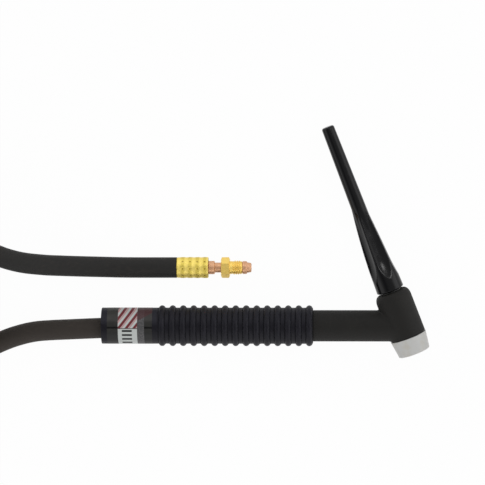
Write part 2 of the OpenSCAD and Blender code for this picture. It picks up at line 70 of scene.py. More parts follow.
def stood(origin, along, side):
    """A place whose Z points along one direction and whose X points to the side."""
    up = Vector(along).normalized()
    across = up.cross(Vector(side)).normalized()
    turned = Matrix((across.cross(up), across, up)).transposed().to_4x4()
    return Matrix.Translation(origin) @ turned


def middle(node):
    """The middle of a node's box."""
    low, high = (Vector(corner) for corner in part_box(node))
    return (low + high) / 2


def lowest(node):
    """The lowest corner of a node's box."""
    return Vector(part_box(node)[0])


def highest(node):
    """The highest corner of a node's box."""
    return Vector(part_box(node)[1])


def mount(name):
    """A mount from the frame's record."""
    return next(m for m in frame["record"]["mounts"] if m["name"] == name)


HANDLE_LENGTH = highest("handle_shell").x - lowest("handle_shell").x
HANDLE_REAR = Vector((lowest("handle_shell").x, *middle("handle_shell").yz))
HANDLE_PLACE = stood(HANDLE_REAR, (1, 0, 0), (0, 1, 0))

# The head's axis crosses the handle's axis here.
HEAD_UP = -Vector(mount("collet_body_thread")["axis"]).normalized()
COLLET_MOUTH = Vector(mount("collet_body_thread")["pos_m"])
HEAD_MIDDLE = COLLET_MOUTH + HEAD_UP * ((HANDLE_REAR.y - COLLET_MOUTH.y) / HEAD_UP.y)
HEAD_PLACE = stood(HEAD_MIDDLE, HEAD_UP, (HEAD_UP.y, -HEAD_UP.x, 0))

# The sealing collar of the far fitting starts here.
FAR_COLLAR = Vector((highest("far_nut").x + 0.2 * MM, *middle("far_nut").yz))
FAR_PLACE = stood(FAR_COLLAR, (1, 0, 0), (0, 1, 0))


# ---- Sizes and colours that a user may change -----------------------------------


def size(name, description, millimetres):
    """A length property, given in millimetres."""
    return FloatProperty(
        name=name,
        description=description,
        default=millimetres * MM,
        min=0.0,
        precision=5,
        subtype="DISTANCE",
        unit="LENGTH",
    )


def linear(red, green, blue):
    """A screen colour of 0 to 255 as the linear colour that shaders use."""
    shares = (red / 255, green / 255, blue / 255)
    return tuple(s / 12.92 if s <= 0.04045 else ((s + 0.055) / 1.055) ** 2.4 for s in shares)


def tint(name, description, red, green, blue):
    """A colour property, given as a screen colour of 0 to 255."""
    return FloatVectorProperty(
        name=name,
        description=description,
        default=linear(red, green, blue),
        min=0.0,
        max=1.0,
        size=3,
        subtype="COLOR",
    )


class HoseSettings(PropertyGroup):
    """Sizes and colours of the hose."""

    diameter: size("Diameter", "Outside of the hose", 14.5)
    coil_radius: size("Coil radius", "Innermost turn, at the middle of the hose", 61)
    coil_step: size("Coil step", "From turn to turn and from layer to layer", 15)
    coil_turns: IntProperty(
        name="Coil turns", description="Whole turns in the coil", default=7, min=6, max=8
    )
    coil_layers: IntProperty(
        name="Coil layers", description="Layers of turns in the coil", default=4, min=2, max=4
    )
    colour: tint("Rubber", "Rubber of the hose", 38, 37, 36)
    # Also laid over the run beside the handle, to make it paler and browner.
    dust: tint("Dust", "Brown bloom on the rubber", 70, 62, 56)


class HandleSettings(PropertyGroup):
    """Sizes and colours of the handle and its label."""

    wall: size("Wall", "Thickness of the handle's wall", 2.3)
    diameter: size("Diameter", "Outside of the plain part", 25.4)
    rib_pitch: size("Rib pitch", "From one rib to the next", 7.38)
    rib_radius: size("Rib radius", "Roundness of a rib", 2.359)
    rib_height: size("Rib height", "How far a rib stands out", 1.65)
    rib_inset: size("Rib inset", "From the front end to the first rib's middle", 2.6)
    end_round: size("End rounding", "Rounding of the handle's ends", 0.5)
    rib_count: IntProperty(name="Ribs", description="Number of ribs", default=15, min=1)
    root_round: size("Root rounding", "Fillet beside each rib", 0.35)
    label_start: size("Label start", "From the handle's rear end to the label", 4.3)
    label_length: size("Label length", "Length of the label along the handle", 31.6)
    label_gap: size("Label lift", "How far the film stands off the handle", 0.05)
    colour: tint("Moulding", "Satin moulding of the handle", 17, 16, 24)
    # Rubbed and dusty places, and also the painted sheen on the handle's upper side.
    worn_and_sheen: tint("Worn moulding", "Rubbed and dusty places", 46, 46, 55)
    # Painted shade in the corners beside the ribs.
    groove_shade: tint("Grooves", "Dark corners beside the ribs", 8, 8, 10)
    film: tint("Label film", "Clear film over the moulding", 33, 33, 31)
    # Dust, and also the painted sheen on the film's upper side.
    film_dust_and_sheen: tint("Film dust", "Dust on the film's upper side", 60, 58, 56)
    # Painted shade on the film's lower side.
    film_shade: tint("Film shade", "The film's lower side", 8, 8, 8)
    # Painted shade in the film's fold.
    fold_shade: tint("Film fold", "Dark fold along the film", 4, 4, 4)
    band: tint("Label band", "Pale band of the label", 200, 204, 202)
    strip: tint("Label strip", "Grey strip of the label", 66, 65, 67)
    strip_dots: tint("Strip dots", "Paler dots on the grey strip", 96, 95, 96)
    corner: tint("Label corner", "Dull red corner of the label", 72, 34, 38)
    ink: tint("Label ink", "Dark marks of the label", 24, 24, 24)
    accent: tint("Label accent", "Dark red marks of the label", 112, 38, 46)
    blush: tint("Label blush", "Dusty pink marks of the label", 196, 140, 142)


class HeadSettings(PropertyGroup):
    """Sizes and colours of the rubber head and the cup gasket."""

    barrel: size("Barrel diameter", "Outside of the head's barrel", 25.4)
    barrel_below: size("Barrel below", "From the neck's axis down to the gasket", 7.9)
    barrel_above: size("Barrel above", "From the neck's axis up to the cap's side", 25.9)
    shoulder_width: size("Shoulder width", "How far the shoulder's curve comes in", 3.4)
    shoulder_height: size("Shoulder height", "How far down the shoulder's curve goes", 5.8)
    neck: size("Neck diameter", "Outside of the neck", 22)
    neck_reach: size("Neck reach", "From the handle's end into the barrel", 64)
    join_reach: size("Join reach", "How far the softened join spreads", 2.6)
    spigot: size("Spigot diameter", "Part of the neck inside the handle", 20.7)
    spigot_length: size("Spigot length", "Length of that part", 16)
    lip_hole: size("Lip hole", "Opening at the cap's side", 14.6)
    tube_hole: size("Tube hole", "Hole along the neck for the gas tube", 9.1)
    block_room: size("Block room", "Cavity for the brass block", 17.1)
    block_top: size("Block top", "Top of that cavity above the neck's axis", 25.05)
    voxel: size("Skin detail", "Mesh size of the blended skin", 0.42)
    colour: tint("Rubber", "Moulded rubber of the head", 26, 25, 23)
    bloom: tint("Bloom", "Paler rubbed places on the rubber", 54, 51, 46)
    gasket_height: size("Gasket height", "Height of the cup gasket", 12.2)
    gasket_base: size("Gasket base", "Gasket's diameter at the head", 25.9)
    gasket_nose: size("Gasket nose", "Gasket's diameter at its nose", 22.7)
    gasket_round: size("Gasket rounding", "Rounding of its nose edge", 0.8)
    nozzle_seat: size("Nozzle seat", "Diameter of the nozzle's seat", 17.2)
    nozzle_seat_depth: size("Nozzle seat depth", "Depth of the nozzle's seat", 4.5)
    gasket_hole: size("Gasket hole", "Hole for the collet body", 10.6)
    block_nose: size("Block nose", "Bore for the block's nose", 13.1)
    block_nose_depth: size("Block nose depth", "Depth of that bore", 4.55)
    block_reach: size("Block reach", "How far the brass block stands into the gasket", 4.5)
    collet_thread: size("Collet thread", "Major diameter of the collet body's thread", 9.52)
    collet_root: size("Collet thread inside", "Its minor diameter", 8.5)
    collet_pitch: size("Collet thread pitch", "From one turn of it to the next", 0.79)
    collet_length: size("Collet thread length", "Length of that thread", 9)
    gasket_colour: tint("Gasket", "Waxy white plastic of the gasket", 205, 205, 203)
    gasket_shade: tint("Gasket shade", "Warm stains on the gasket", 196, 190, 176)


class CapSettings(PropertyGroup):
    """Sizes and colours of the back cap."""

    gap: size("Gap", "From the barrel to the cap's base", 1.4)
    length: size("Length", "Length of the cap", 122.8)
    base: size("Base diameter", "Cap's diameter at its base", 19.5)
    base_round: size("Base rounding", "Rounding of the base's edge", 0.7)
    collar: size("Collar diameter", "Diameter at the collar's upper edge", 19)
    collar_height: size("Collar height", "Height of the collar", 8.5)
    swell: size("Swell", "How far the taper swells past a straight line", 0.8)
    waist: size("Waist diameter", "Diameter where the taper slows down", 10.4)
    waist_height: size("Waist height", "Height of that place", 61.5)
    tip: size("Tip diameter", "Diameter at the tip", 8.9)
    tip_round: size("Tip rounding", "Rounding of the tip's edge", 1.4)
    insert_bore: size("Insert bore", "Hole for the brass insert", 12.9)
    insert_depth: size("Insert depth", "Depth of that hole", 12)
    insert: size("Insert diameter", "Brass insert inside the cap", 12.8)
    insert_start: size("Insert start", "From the barrel's top up to the insert", 1.2)
    shank: size("Shank diameter", "Insert's shank under the sealing ring", 9.9)
    thread: size("Thread diameter", "Major diameter of the insert's thread", 11)
    thread_root: size("Thread root", "Minor diameter of the insert's thread", 9.7)
    thread_pitch: size("Thread pitch", "Rise of the cap in one turn", 1.27)
    thread_top: size("Thread top", "From the barrel's top down to the thread", 0.9)
    thread_length: size("Thread length", "Length of the insert's thread", 10.2)
    bore: size("Bore", "Hole for the electrode's rear end", 5.2)
    end_wall: size("End wall", "Thickness at the tip", 4)
    rod_root: size("Rod root", "How far the slim rod reaches into the taper", 18)
    flute_count: IntProperty(name="Flutes", description="Number of flutes", default=5, min=1)
    flute_radius: size("Flute radius", "Roundness of a flute's hollow", 20)
    flute_depth: size("Flute depth", "Depth of a flute's floor below the collar's edge", 1.7)
    flute_floor: size("Flute floor", "Diameter that the floors run down to", 9.2)
    flute_run_out: size("Flute run-out", "Length of the flutes' round ends", 14)
    flute_start: size("Flute start", "Height where the flutes start", 9.6)
    flute_turn: FloatProperty(
        name="Flute turn",
        description="Turn of the flutes about the cap's axis",
        default=math.radians(-72),
        subtype="ANGLE",
        unit="ROTATION",
    )
    edge_round: size("Edge rounding", "Softness of the edges between flutes", 0.5)
    colour: tint("Plastic", "Glossy moulded plastic of the cap", 15, 15, 17)


class FittingSettings(PropertyGroup):
    """Sizes and colours of the hose's metal fitting."""

    hex_flats: size("Hexagon", "Width of the nut across its flats", 12.7)
    hex_back: size("Hexagon's back", "From the collar back to the hexagon", 15)
    hex_length: size("Hexagon length", "Length of the hexagon", 6)
    relief: size("Relief diameter", "Plain neck between hexagon and thread", 9)
    relief_length: size("Relief length", "Length of that neck", 1.6)
    thread: size("Thread diameter", "Major diameter of the nut's thread", 9.9)
    thread_root: size("Thread root", "Minor diameter of the nut's thread", 8.8)
    thread_length: size("Thread length", "Length of the nut's thread", 7.2)
    thread_pitch: size("Thread pitch", "Pitch of the nut's thread", 1.5)
    nut_bore: size("Nut bore", "Hole through the nut", 7.34)
    stem: size("Stem diameter", "Stem inside the nut", 7)
    ring: size("Ring diameter", "Stop ring of the stem", 9.3)
    ring_length: size("Ring length", "Length of the stop ring", 4.4)
    ring_back: size("Ring's back", "From the collar back to the stop ring", 24)
    collar: size("Collar diameter", "Sealing collar of the stem", 9)
    collar_length: size("Collar length", "Length of the sealing collar", 3.1)
    tip: size("Tip diameter", "Diameter of the stem's tip", 6.6)
    tip_root: size("Tip root", "Diameter where the tip starts", 7.4)
    tip_length: size("Tip length", "Length of the stem's tip", 3.1)
    gas_bore: size("Gas bore", "Hole through the stem", 4.5)
    ferrule: size("Ferrule diameter", "Outside of the crimped ferrule", 15)
    ferrule_front: size("Ferrule's front", "From the collar back to the ferrule", 24.1)
    ferrule_length: size("Ferrule length", "Length of the ferrule", 22.2)
    first_crimp: size("First crimp", "From the ferrule's front to its first crimp ring", 2.4)
    crimp_pitch: size("Crimp pitch", "From one crimp ring to the next", 5.15)
    crimp_depth: size("Crimp depth", "Depth of the waists between crimp rings", 0.35)
    ferrule_bore: size("Ferrule bore", "Hole for the hose", 13)
    flat_count: IntProperty(
        name="Flats", description="Number of the crimping tool's flats", default=8, min=4
    )
    flat_depth: size("Flat depth", "Depth of those flats", 0.28)
    dent_depth: size("Dent depth", "Depth of the dents on each crimp ring", 0.4)
    dent_length: size("Dent length", "Half of a dent's length along the ferrule", 0.95)
    dent_width: size("Dent width", "Half of a dent's width round the ferrule", 1.05)
    brass: tint("Brass", "Turned brass of the nut", 246, 215, 120)
    ferrule_brass: tint("Ferrule brass", "Stamped brass of the ferrule", 242, 221, 124)
    # Painted shade on the crimp rings' crests.
    crest_shade_brass: tint("Ring brass", "Dull brass on the crimp rings", 204, 184, 78)
    # Painted shade in the dents.
    dent_shade_brass: tint("Dent brass", "Dark brass in the dents", 140, 112, 40)
    copper: tint("Copper", "Copper-coloured stem", 218, 172, 136)


class StudioSettings(PropertyGroup):
    """Camera, floor and lamps."""

    lens: FloatProperty(
        name="Lens", description="Focal length of the camera", default=265, min=20, max=500
    )
    distance: FloatProperty(
        name="Distance",
        description="From the camera to the point it looks at",
        default=2.5,
        min=0.5,
        subtype="DISTANCE",
        unit="LENGTH",
    )
    key: FloatProperty(name="Key lamp", description="Power of the key lamp", default=4.5, min=0)
    fill: FloatProperty(name="Fill lamp", description="Power of the fill lamp", default=6.5, min=0)
    spark: FloatProperty(name="Spark lamp", description="Power of the small lamp", default=3, min=0)
    boxes: FloatProperty(
        name="Boxes", description="Strength of what gloss shows", default=2.2, min=0
    )
    even: FloatProperty(
        name="Even light", description="Strength of the even light", default=0.55, min=0
    )
    floor: tint("Floor", "Pale floor under the torch", 250, 250, 250)


SETTINGS = {
    "torch_hose": HoseSettings,
    "torch_handle": HandleSettings,
    "torch_head": HeadSettings,
    "torch_cap": CapSettings,
    "torch_fitting": FittingSettings,
    "torch_studio": StudioSettings,
}


# ---- Shader maths ---------------------------------------------------------------


class Signal:
    """A shader value that adds Math nodes when it stands in an expression."""

    def __init__(self, nodes, socket):
        self.nodes = nodes
        self.socket = socket

    def joined(self, operation, *values, clamp=False):
        settings = {"operation": operation, "use_clamp": clamp}
        return self.nodes.add("ShaderNodeMath", settings, dict(enumerate(values)))

    def __add__(self, other):
        return self.joined("ADD", self, other)

    def __radd__(self, other):
        return self.joined("ADD", other, self)

    def __sub__(self, other):
        return self.joined("SUBTRACT", self, other)

    def __rsub__(self, other):
        return self.joined("SUBTRACT", other, self)

    def __mul__(self, other):
        return self.joined("MULTIPLY", self, other)

    def __rmul__(self, other):
        return self.joined("MULTIPLY", other, self)

    def __truediv__(self, other):
        return self.joined("DIVIDE", self, other)

    def __neg__(self):
        return self.joined("MULTIPLY", self, -1.0)

    def __abs__(self):
        return self.joined("ABSOLUTE", self)

    def clamped(self):
        return self.joined("ADD", self, 0.0, clamp=True)

    def root(self):
        return self.joined("SQRT", self)

    def wave(self):
        return self.joined("SINE", self)

    def fraction(self):
        return self.joined("FRACT", self)


class Nodes:
    """A node tree that is being wired."""

    def __init__(self, tree):
        self.tree = tree
        tree.nodes.clear()

    def add(self, kind, settings=None, values=None, output=0):
        """Add one node: its settings first, then the values or links of its sockets."""
        node = self.tree.nodes.new(kind)
        for name, setting in (settings or {}).items():
            if name == "stops":
                self.set_stops(node.color_ramp, setting)
            else:
                setattr(node, name, setting)
        for socket, value in (values or {}).items():
            if isinstance(value, Signal):
                self.tree.links.new(value.socket, node.inputs[socket])
            else:
                node.inputs[socket].default_value = value
        return Signal(self, node.outputs[output]) if node.outputs else node

    @staticmethod
    def set_stops(ramp, stops):
        while len(ramp.elements) < len(stops):
            ramp.elements.new(1.0)
        for element, (position, level) in zip(ramp.elements, stops):
            element.position = position
            element.color = (level, level, level, 1.0)

    def place(self, scale=(1, 1, 1), turn=(0, 0, 0), origin=(0, 0, 0)):
        """Object coordinates about an origin, turned and then stretched."""
        spot = self.add("ShaderNodeTexCoord", output=3)
        shifted = self.add(
            "ShaderNodeVectorMath", {"operation": "SUBTRACT"}, {0: spot, 1: tuple(origin)}
        )
        turned = self.add(
            "ShaderNodeMapping", {"vector_type": "POINT"}, {"Vector": shifted, "Rotation": turn}
        )
        return self.add(
            "ShaderNodeVectorMath", {"operation": "MULTIPLY"}, {0: turned, 1: tuple(scale)}
        )

    def split(self, vector):
        """The X, Y and Z of a vector."""
        parts = self.add("ShaderNodeSeparateXYZ", values={0: vector})
        sockets = parts.socket.node.outputs
        return tuple(Signal(self, sockets[i]) for i in range(3))

    def noise(self, vector, size, detail=3.0, roughness=0.55):
        """Noise of 0 to 1 with features about one size across."""
        values = {"Vector": vector, "Scale": 1 / size, "Detail": detail, "Roughness": roughness}
        return self.add("ShaderNodeTexNoise", values=values)

    def step(self, value, start, end):
        """Rises from 0 to 1 between start and end."""
        settings = {"interpolation_type": "SMOOTHSTEP"}
        return self.add("ShaderNodeMapRange", settings, {0: value, 1: start, 2: end})

    def within(self, value, low, high, soft):
        """1 between low and high, with soft edges."""
        return self.step(value, low - soft, low + soft) * self.step(value, high + soft, high - soft)

    def blend(self, share, first, second):
        """Two colours mixed by a share."""
        settings = {"data_type": "RGBA", "clamp_factor": True}
        values = {0: share, 6: as_colour(first), 7: as_colour(second)}
        return self.add("ShaderNodeMix", settings, values, output=2)

    def bump(self, height, depth, strength):
        """A normal from a height of 0 to 1 that stands for a depth."""
        values = {"Strength": strength, "Distance": depth, "Height": height}
        return self.add("ShaderNodeBump", values=values)


def as_colour(value):
    """A colour with its alpha, or a link as it is."""
    return value if isinstance(value, Signal) else (*tuple(value)[:3], 1.0)


def finish(name, build, constants):
    """A material whose shader gets what varies from build and the rest as constants."""
    material = bpy.data.materials.new(name)
    material.use_nodes = True
    nodes = Nodes(material.node_tree)
    values = dict(constants)
    values.update(build(nodes))
    shader = nodes.add("ShaderNodeBsdfPrincipled", values=values)
    nodes.add("ShaderNodeOutputMaterial", values={"Surface": shader})
    return material


# ---- Shaping helpers --------------------------------------------------------------


def arc(middle_point, radius, start, end, steps=6):
    """Points on a round stretch of an outline; 0 degrees points outward, 90 up."""
    across, up = middle_point
    angles = (math.radians(start + (end - start) * i / steps) for i in range(steps + 1))
    return [(across + radius * math.cos(a), up + radius * math.sin(a)) for a in angles]


def swept(outline, closed, angle, steps, rise=0.0, whole=False):
    """A (radius, height) outline spun about Z, rising a little with each step."""
    shape = bmesh.new()
    rim = [shape.verts.new((radius, 0, height)) for radius, height in outline]
    for first, second in zip(rim, rim[1:]):
        shape.edges.new((first, second))
    if closed:
        shape.edges.new((rim[-1], rim[0]))
    bmesh.ops.spin(
        shape,
        geom=shape.verts[:] + shape.edges[:],
        cent=(0, 0, 0),
        axis=(0, 0, 1),
        dvec=(0, 0, rise),
        angle=angle,
        steps=steps,
        use_merge=whole,
    )
    return shape


def spun(outline, steps=96):
    """An outline of (radius, height) points turned about Z into a closed shell."""
    shape = swept(outline, outline[0][0] > 0, TURN, steps, whole=True)
    tidied(shape)
    return shape


def tidied(shape, distance=0.002 * MM):
    """Merge doubles, then turn the faces outward."""
    bmesh.ops.remove_doubles(shape, verts=shape.verts, dist=distance)
    bmesh.ops.recalc_face_normals(shape, faces=shape.faces)


def moved(shape, place):
    """Put a shape in its place."""
    bmesh.ops.transform(shape, matrix=place, verts=shape.verts)
    return shape


def smoothed(shape, verts, rounds):
    """Smooth some of a shape's points, a number of times."""
    for _ in range(rounds):
        bmesh.ops.smooth_vert(
            shape, verts=verts, factor=0.5, use_axis_x=True, use_axis_y=True, use_axis_z=True
        )


def meshed(name, shape):
    """A mesh of a shape, which is used up."""
    mesh = bpy.data.meshes.new(name)
    shape.to_mesh(mesh)
    shape.free()
    return mesh


def unmeshed(mesh):
    """A shape of a mesh."""
    shape = bmesh.new()
    shape.from_mesh(mesh)
    return shape


def added(shape, other):
    """Put another bmesh's shells into this one."""
    spare = meshed("spare", other)
    shape.from_mesh(spare)
    bpy.data.meshes.remove(spare)


def spare_object(name, shape):
    """An object to cut or be cut, which the torch doesn't keep."""
    item = bpy.data.objects.new(name, meshed(name, shape))
    bpy.context.scene.collection.objects.link(item)
    return item


def piece(name, shape, place, material, body="torch", crease=35):
    """Make a bmesh an object of the torch, in place, with creases past an angle."""
    moved(shape, place)
    shape.normal_update()
    for face in shape.faces:
        face.smooth = True
    for edge in shape.edges:
        edge.smooth = edge.calc_face_angle(0) < math.radians(crease)
    return dressed(bpy.data.objects.new(name, meshed(name, shape)), material, body)


def dressed(item, material, body):
    """Link an object, give it its material and let it ride on a body."""
    bpy.context.scene.collection.objects.link(item)
    item.data.materials.append(material)
    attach(item, body)
    return item


def applied(item, kind, **settings):
    """Apply a modifier to an object that has no parent yet."""
    modifier = item.modifiers.new(kind.title(), kind)
    for name, setting in settings.items():
        setattr(modifier, name, setting)
    graph = bpy.context.evaluated_depsgraph_get()
    mesh = bpy.data.meshes.new_from_object(item.evaluated_get(graph))
    item.modifiers.clear()
    item.data = mesh


def cut(item, operation, tool):
    """Cut an object with a spare one, which is used up."""
    applied(item, "BOOLEAN", operation=operation, object=tool, solver="EXACT")
    bpy.data.objects.remove(tool)


def helix_ridge(root, crest, pitch, start, length):
    """A thread's ridge, outward or inward, wound up Z, that runs in and out at its ends."""
    turns = length / pitch - 1
    flat, steps_per_turn = 0.2, 48
    low, high = pitch * (0.5 - flat), pitch * flat / 2
    sunk = root - math.copysign(0.3 * MM, crest - root)
    outline = [(sunk, -low), (root, -low), (crest, -high), (crest, high), (root, low), (sunk, low)]
    total = round(steps_per_turn * turns)
    shape = swept(outline, True, TURN * turns, total, rise=pitch * turns / total)
    run_in = 0.35 * pitch
    for vert in shape.verts:
        angle = math.atan2(vert.co.y, vert.co.x) / TURN
        turn = round(vert.co.z / pitch - angle) + angle
        share = min(turn, turns - turn) * pitch / run_in
        share = min(1.0, max(0.0, share))
        radius = vert.co.xy.length
        if abs(radius - crest) < abs(radius - root):
            vert.co.xy *= (root + (radius - root) * share) / radius
    ends = [edge for edge in shape.edges if edge.is_boundary]
    bmesh.ops.holes_fill(shape, edges=ends, sides=len(outline))
    bmesh.ops.translate(shape, vec=(0, 0, start + pitch / 2), verts=shape.verts)
    tidied(shape)
    return shape


# ---- Hose -------------------------------------------------------------------------

# Middle of the hose from the handle to the coil, in millimetres.
TORCH_ROUTE = (
    (-115, -60.97, 12.58),
    (-127, -61.6, 11.7),
    (-139, -62.3, 10.8),
    (-151, -63, 9.8),
    (-163, -64.2, 8.8),
    (-174, -66.8, 8.1),
    (-184, -70.3, 7.6),
    (-194, -74.9, 7.3),
    (-204, -80.5, 7.25),
    (-214, -87.6, 7.25),
    (-223.5, -95.9, 7.25),
)
# Middle of the hose from the coil to the far ferrule, in millimetres.
FAR_ROUTE = (
    (-255, 39.9, 52.1),
    (-240, 32.1, 51.6),
    (-227, 23.1, 50.3),
    (-214.8, 13.6, 48.1),
    (-202.5, 4.3, 44.7),
    (-189.3, -4, 39.7),
    (-174, -10.6, 32.9),
    (-155.8, -14.5, 24),
    (-142.6, -16, 18),
    (-129.4, -17.1, 13.3),
    (-116, -17.9, 10),
    (-102.5, -18.5, 8.1),
    (-89, -18.7, 7.5),
    (-76, -18.7, 7.5),
    (-62.4, -18.7, 7.5),
)
# Middle of the coil, in millimetres, and the directions in which the hose joins and leaves it.
COIL_MIDDLE = (-296, -41)
COIL_START = math.radians(-45)
COIL_END = math.radians(75)
COIL_POINTS_PER_TURN = 24


def climb(s, midway):
    """Share of one climb that is done after s turns: a half turn about its middle."""
    share = min(1, max(0, (s - midway + 0.25) / 0.5))
    return share * share * (3 - 2 * share)


def coil_point(hose, turns, s):
    """Middle of the hose after s turns: in on one layer, out on the next."""
    layer = turns / hose.coil_layers
    angle = COIL_START - TURN * s
    radius = hose.coil_radius + hose.coil_step * abs(s % (2 * layer) - layer)
    climbed = sum(climb(s, layer * i) for i in range(1, hose.coil_layers))
    return Vector(
        (
            COIL_MIDDLE[0] * MM + radius * math.cos(angle),
            COIL_MIDDLE[1] * MM + radius * math.sin(angle),
            hose.diameter / 2 + hose.coil_step * climbed,
        )
    )


def hose_route(hose):
    """Every point of the free hose, from the handle to the far ferrule."""
    turns = hose.coil_turns + 1 + (COIL_START - COIL_END) / TURN
    count = round(turns * COIL_POINTS_PER_TURN)
    coil = [coil_point(hose, turns, turns * i / count) for i in range(count + 1)]
    there = [Vector(point) * MM for point in TORCH_ROUTE]
    back = [Vector(point) * MM for point in FAR_ROUTE]
    return there + coil + back


def held_route():
    """The hose's end in the handle: from the free hose up to the handle's middle."""
    start = Vector(TORCH_ROUTE[0]) * MM
    front = Vector((lowest("front_ferrule").x, *HANDLE_REAR.yz))
    points = []
    for share in (0, 0.25, 0.5, 0.75, 1):
        sag = (1 - share) ** 2
        points.append(front + (start - front) * sag)
        points[-1].x = start.x + (front.x - start.x) * share
    return points


def bent_tube(name, points, diameter, material):
    """A smooth tube through points, as one open curve."""
    curve = bpy.data.curves.new(name, "CURVE")
    curve.dimensions = "3D"
    curve.bevel_depth = diameter / 2
    curve.bevel_resolution = 8
    curve.resolution_u = 5
    curve.use_fill_caps = True
    spline = curve.splines.new("BEZIER")
    spline.bezier_points.add(len(points) - 1)
    for knot, point in zip(spline.bezier_points, points):
        knot.co = point
        knot.handle_left_type = "AUTO"
        knot.handle_right_type = "AUTO"
    return dressed(bpy.data.objects.new(name, curve), material, "torch")


def hose_rubber(hose):
    """Black rubber with a faint mottling and a brown bloom, paler and browner along the run beside
    the handle.
    """

    def build(nodes):
        spot = nodes.place()
        x, y, _ = nodes.split(spot)
        clouds = nodes.noise(spot, 22 * MM, detail=2)
        mottling = nodes.noise(nodes.place(scale=(0.5, 1, 1)), 2.2 * MM, detail=3, roughness=0.6)
        grain = nodes.noise(spot, 0.5 * MM, detail=2)
        near_handle = nodes.step(x, -235 * MM, -185 * MM)
        # The run beside the handle is made paler and browner.
        paler_by_handle = nodes.step(y, -35 * MM, -50 * MM) * near_handle
        dusty = nodes.step(mottling, 0.45, 0.8) * nodes.step(clouds, 0.3, 0.7)
        dark = nodes.blend(mottling, [0.8 * c for c in hose.colour], hose.colour)
        colour = nodes.blend(dusty * 0.2 + paler_by_handle * 0.5, dark, hose.dust)
        height = mottling * 0.5 + grain * 0.5
        return {
            "Base Color": colour,
            "Roughness": 0.6 + 0.16 * grain,
            "Normal": nodes.bump(height, 0.1 * MM, 0.6),
        }

    return finish("hose_rubber", build, {"Specular IOR Level": 0.25})


class TORCH_OT_hose(Operator):
    """Lay the hose: its end in the handle, its run, its coil and its run back"""

    bl_idname = "torch.hose"
    bl_label = "Hose"
    bl_options = {"REGISTER", "UNDO"}

    def execute(self, context):
        hose = context.scene.torch_hose
        rubber = hose_rubber(hose)
        free = bent_tube("hose", hose_route(hose), hose.diameter, rubber)
        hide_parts("hose_torch_run", "hose_coil", "hose_far_run")
        clear = 0.02 * MM
        held = bent_tube("hose_end_in_handle", held_route(), hose.diameter - clear, rubber)
        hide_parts("hose_in_handle")
        return {"FINISHED"}


# ---- Handle -----------------------------------------------------------------------


def rib_heights(handle):
    """Distance of each rib's middle from the handle's rear end."""
    first = HANDLE_LENGTH - handle.rib_inset
    return [first - handle.rib_pitch * i for i in range(handle.rib_count)]


def rib_half_width(handle):
    """Half of a rib's width where it meets the handle's wall."""
    sunk = handle.rib_radius - handle.rib_height
    return math.sqrt(handle.rib_radius**2 - sunk**2)


def handle_outline(handle):
    """The handle's wall, ribs and end roundings as (radius, height)."""
    outer = handle.diameter / 2
    bore = outer - handle.wall
    edge = handle.end_round
    rib_middle = outer + handle.rib_height - handle.rib_radius
    half = math.degrees(math.asin(rib_half_width(handle) / handle.rib_radius))
    outline = [(bore, edge), *arc((outer - edge, edge), edge, -90, 0, 4)]
    outline.insert(1, (bore + edge, 0))
    for height in reversed(rib_heights(handle)):
        outline += arc((rib_middle, height), handle.rib_radius, -half, half, 10)
    outline += [(outer - edge, HANDLE_LENGTH), (bore + edge, HANDLE_LENGTH)]
    outline += [(bore, HANDLE_LENGTH - edge)]
    return outline


def handle_moulding(handle):
    """Satin moulding with painted shade beside each rib, a painted sheen on its upper side, a bloom
    and fine scuffs.
    """

    def build(nodes):
        spot = nodes.place(origin=HANDLE_REAR)
        x, y, _ = nodes.split(spot)
        clouds = nodes.noise(spot, 9 * MM, detail=3)
        grain = nodes.noise(spot, 0.45 * MM, detail=2)
        around = nodes.place(scale=(3, 1, 1), origin=HANDLE_REAR)
        scuffs = nodes.noise(around, 4 * MM, detail=4, roughness=0.7)
        ribs = rib_heights(handle)
        from_rib = ((x - ribs[-1]) / handle.rib_pitch + 0.5).fraction()
        from_rib = abs(from_rib - 0.5) * handle.rib_pitch
        foot = rib_half_width(handle)
        ribbed = nodes.step(x, ribs[-1] - 2 * foot, ribs[-1] - foot)
        # Painted shade in the corners beside each rib.
        groove_shade = nodes.within(from_rib, foot - 0.12 * MM, foot + 0.3 * MM, 0.12 * MM) * ribbed
        crest = nodes.step(from_rib, 0.5 * foot, 0) * ribbed
        worn_and_sheen = nodes.step(scuffs, 0.5, 0.8) * (0.2 + 0.3 * crest)
        worn_and_sheen = worn_and_sheen + nodes.step(clouds, 0.5, 0.8) * 0.2
        # Painted sheen: the handle's upper side is made paler, strongly off the ribs and faintly on
        # them.
        worn_and_sheen = worn_and_sheen + nodes.step(y, 1 * MM, 6 * MM) * (0.5 - 0.4 * ribbed)
        colour = nodes.blend(worn_and_sheen.clamped(), handle.colour, handle.worn_and_sheen)
        colour = nodes.blend(groove_shade * 0.75, colour, handle.groove_shade)
        height = grain * 0.6 + scuffs * 0.4
        return {
            "Base Color": colour,
            "Roughness": 0.44 + 0.16 * grain + 0.3 * groove_shade,
            "Normal": nodes.bump(height, 0.06 * MM, 0.6),
        }

    return finish("handle_moulding", build, {"Specular IOR Level": 0.18})


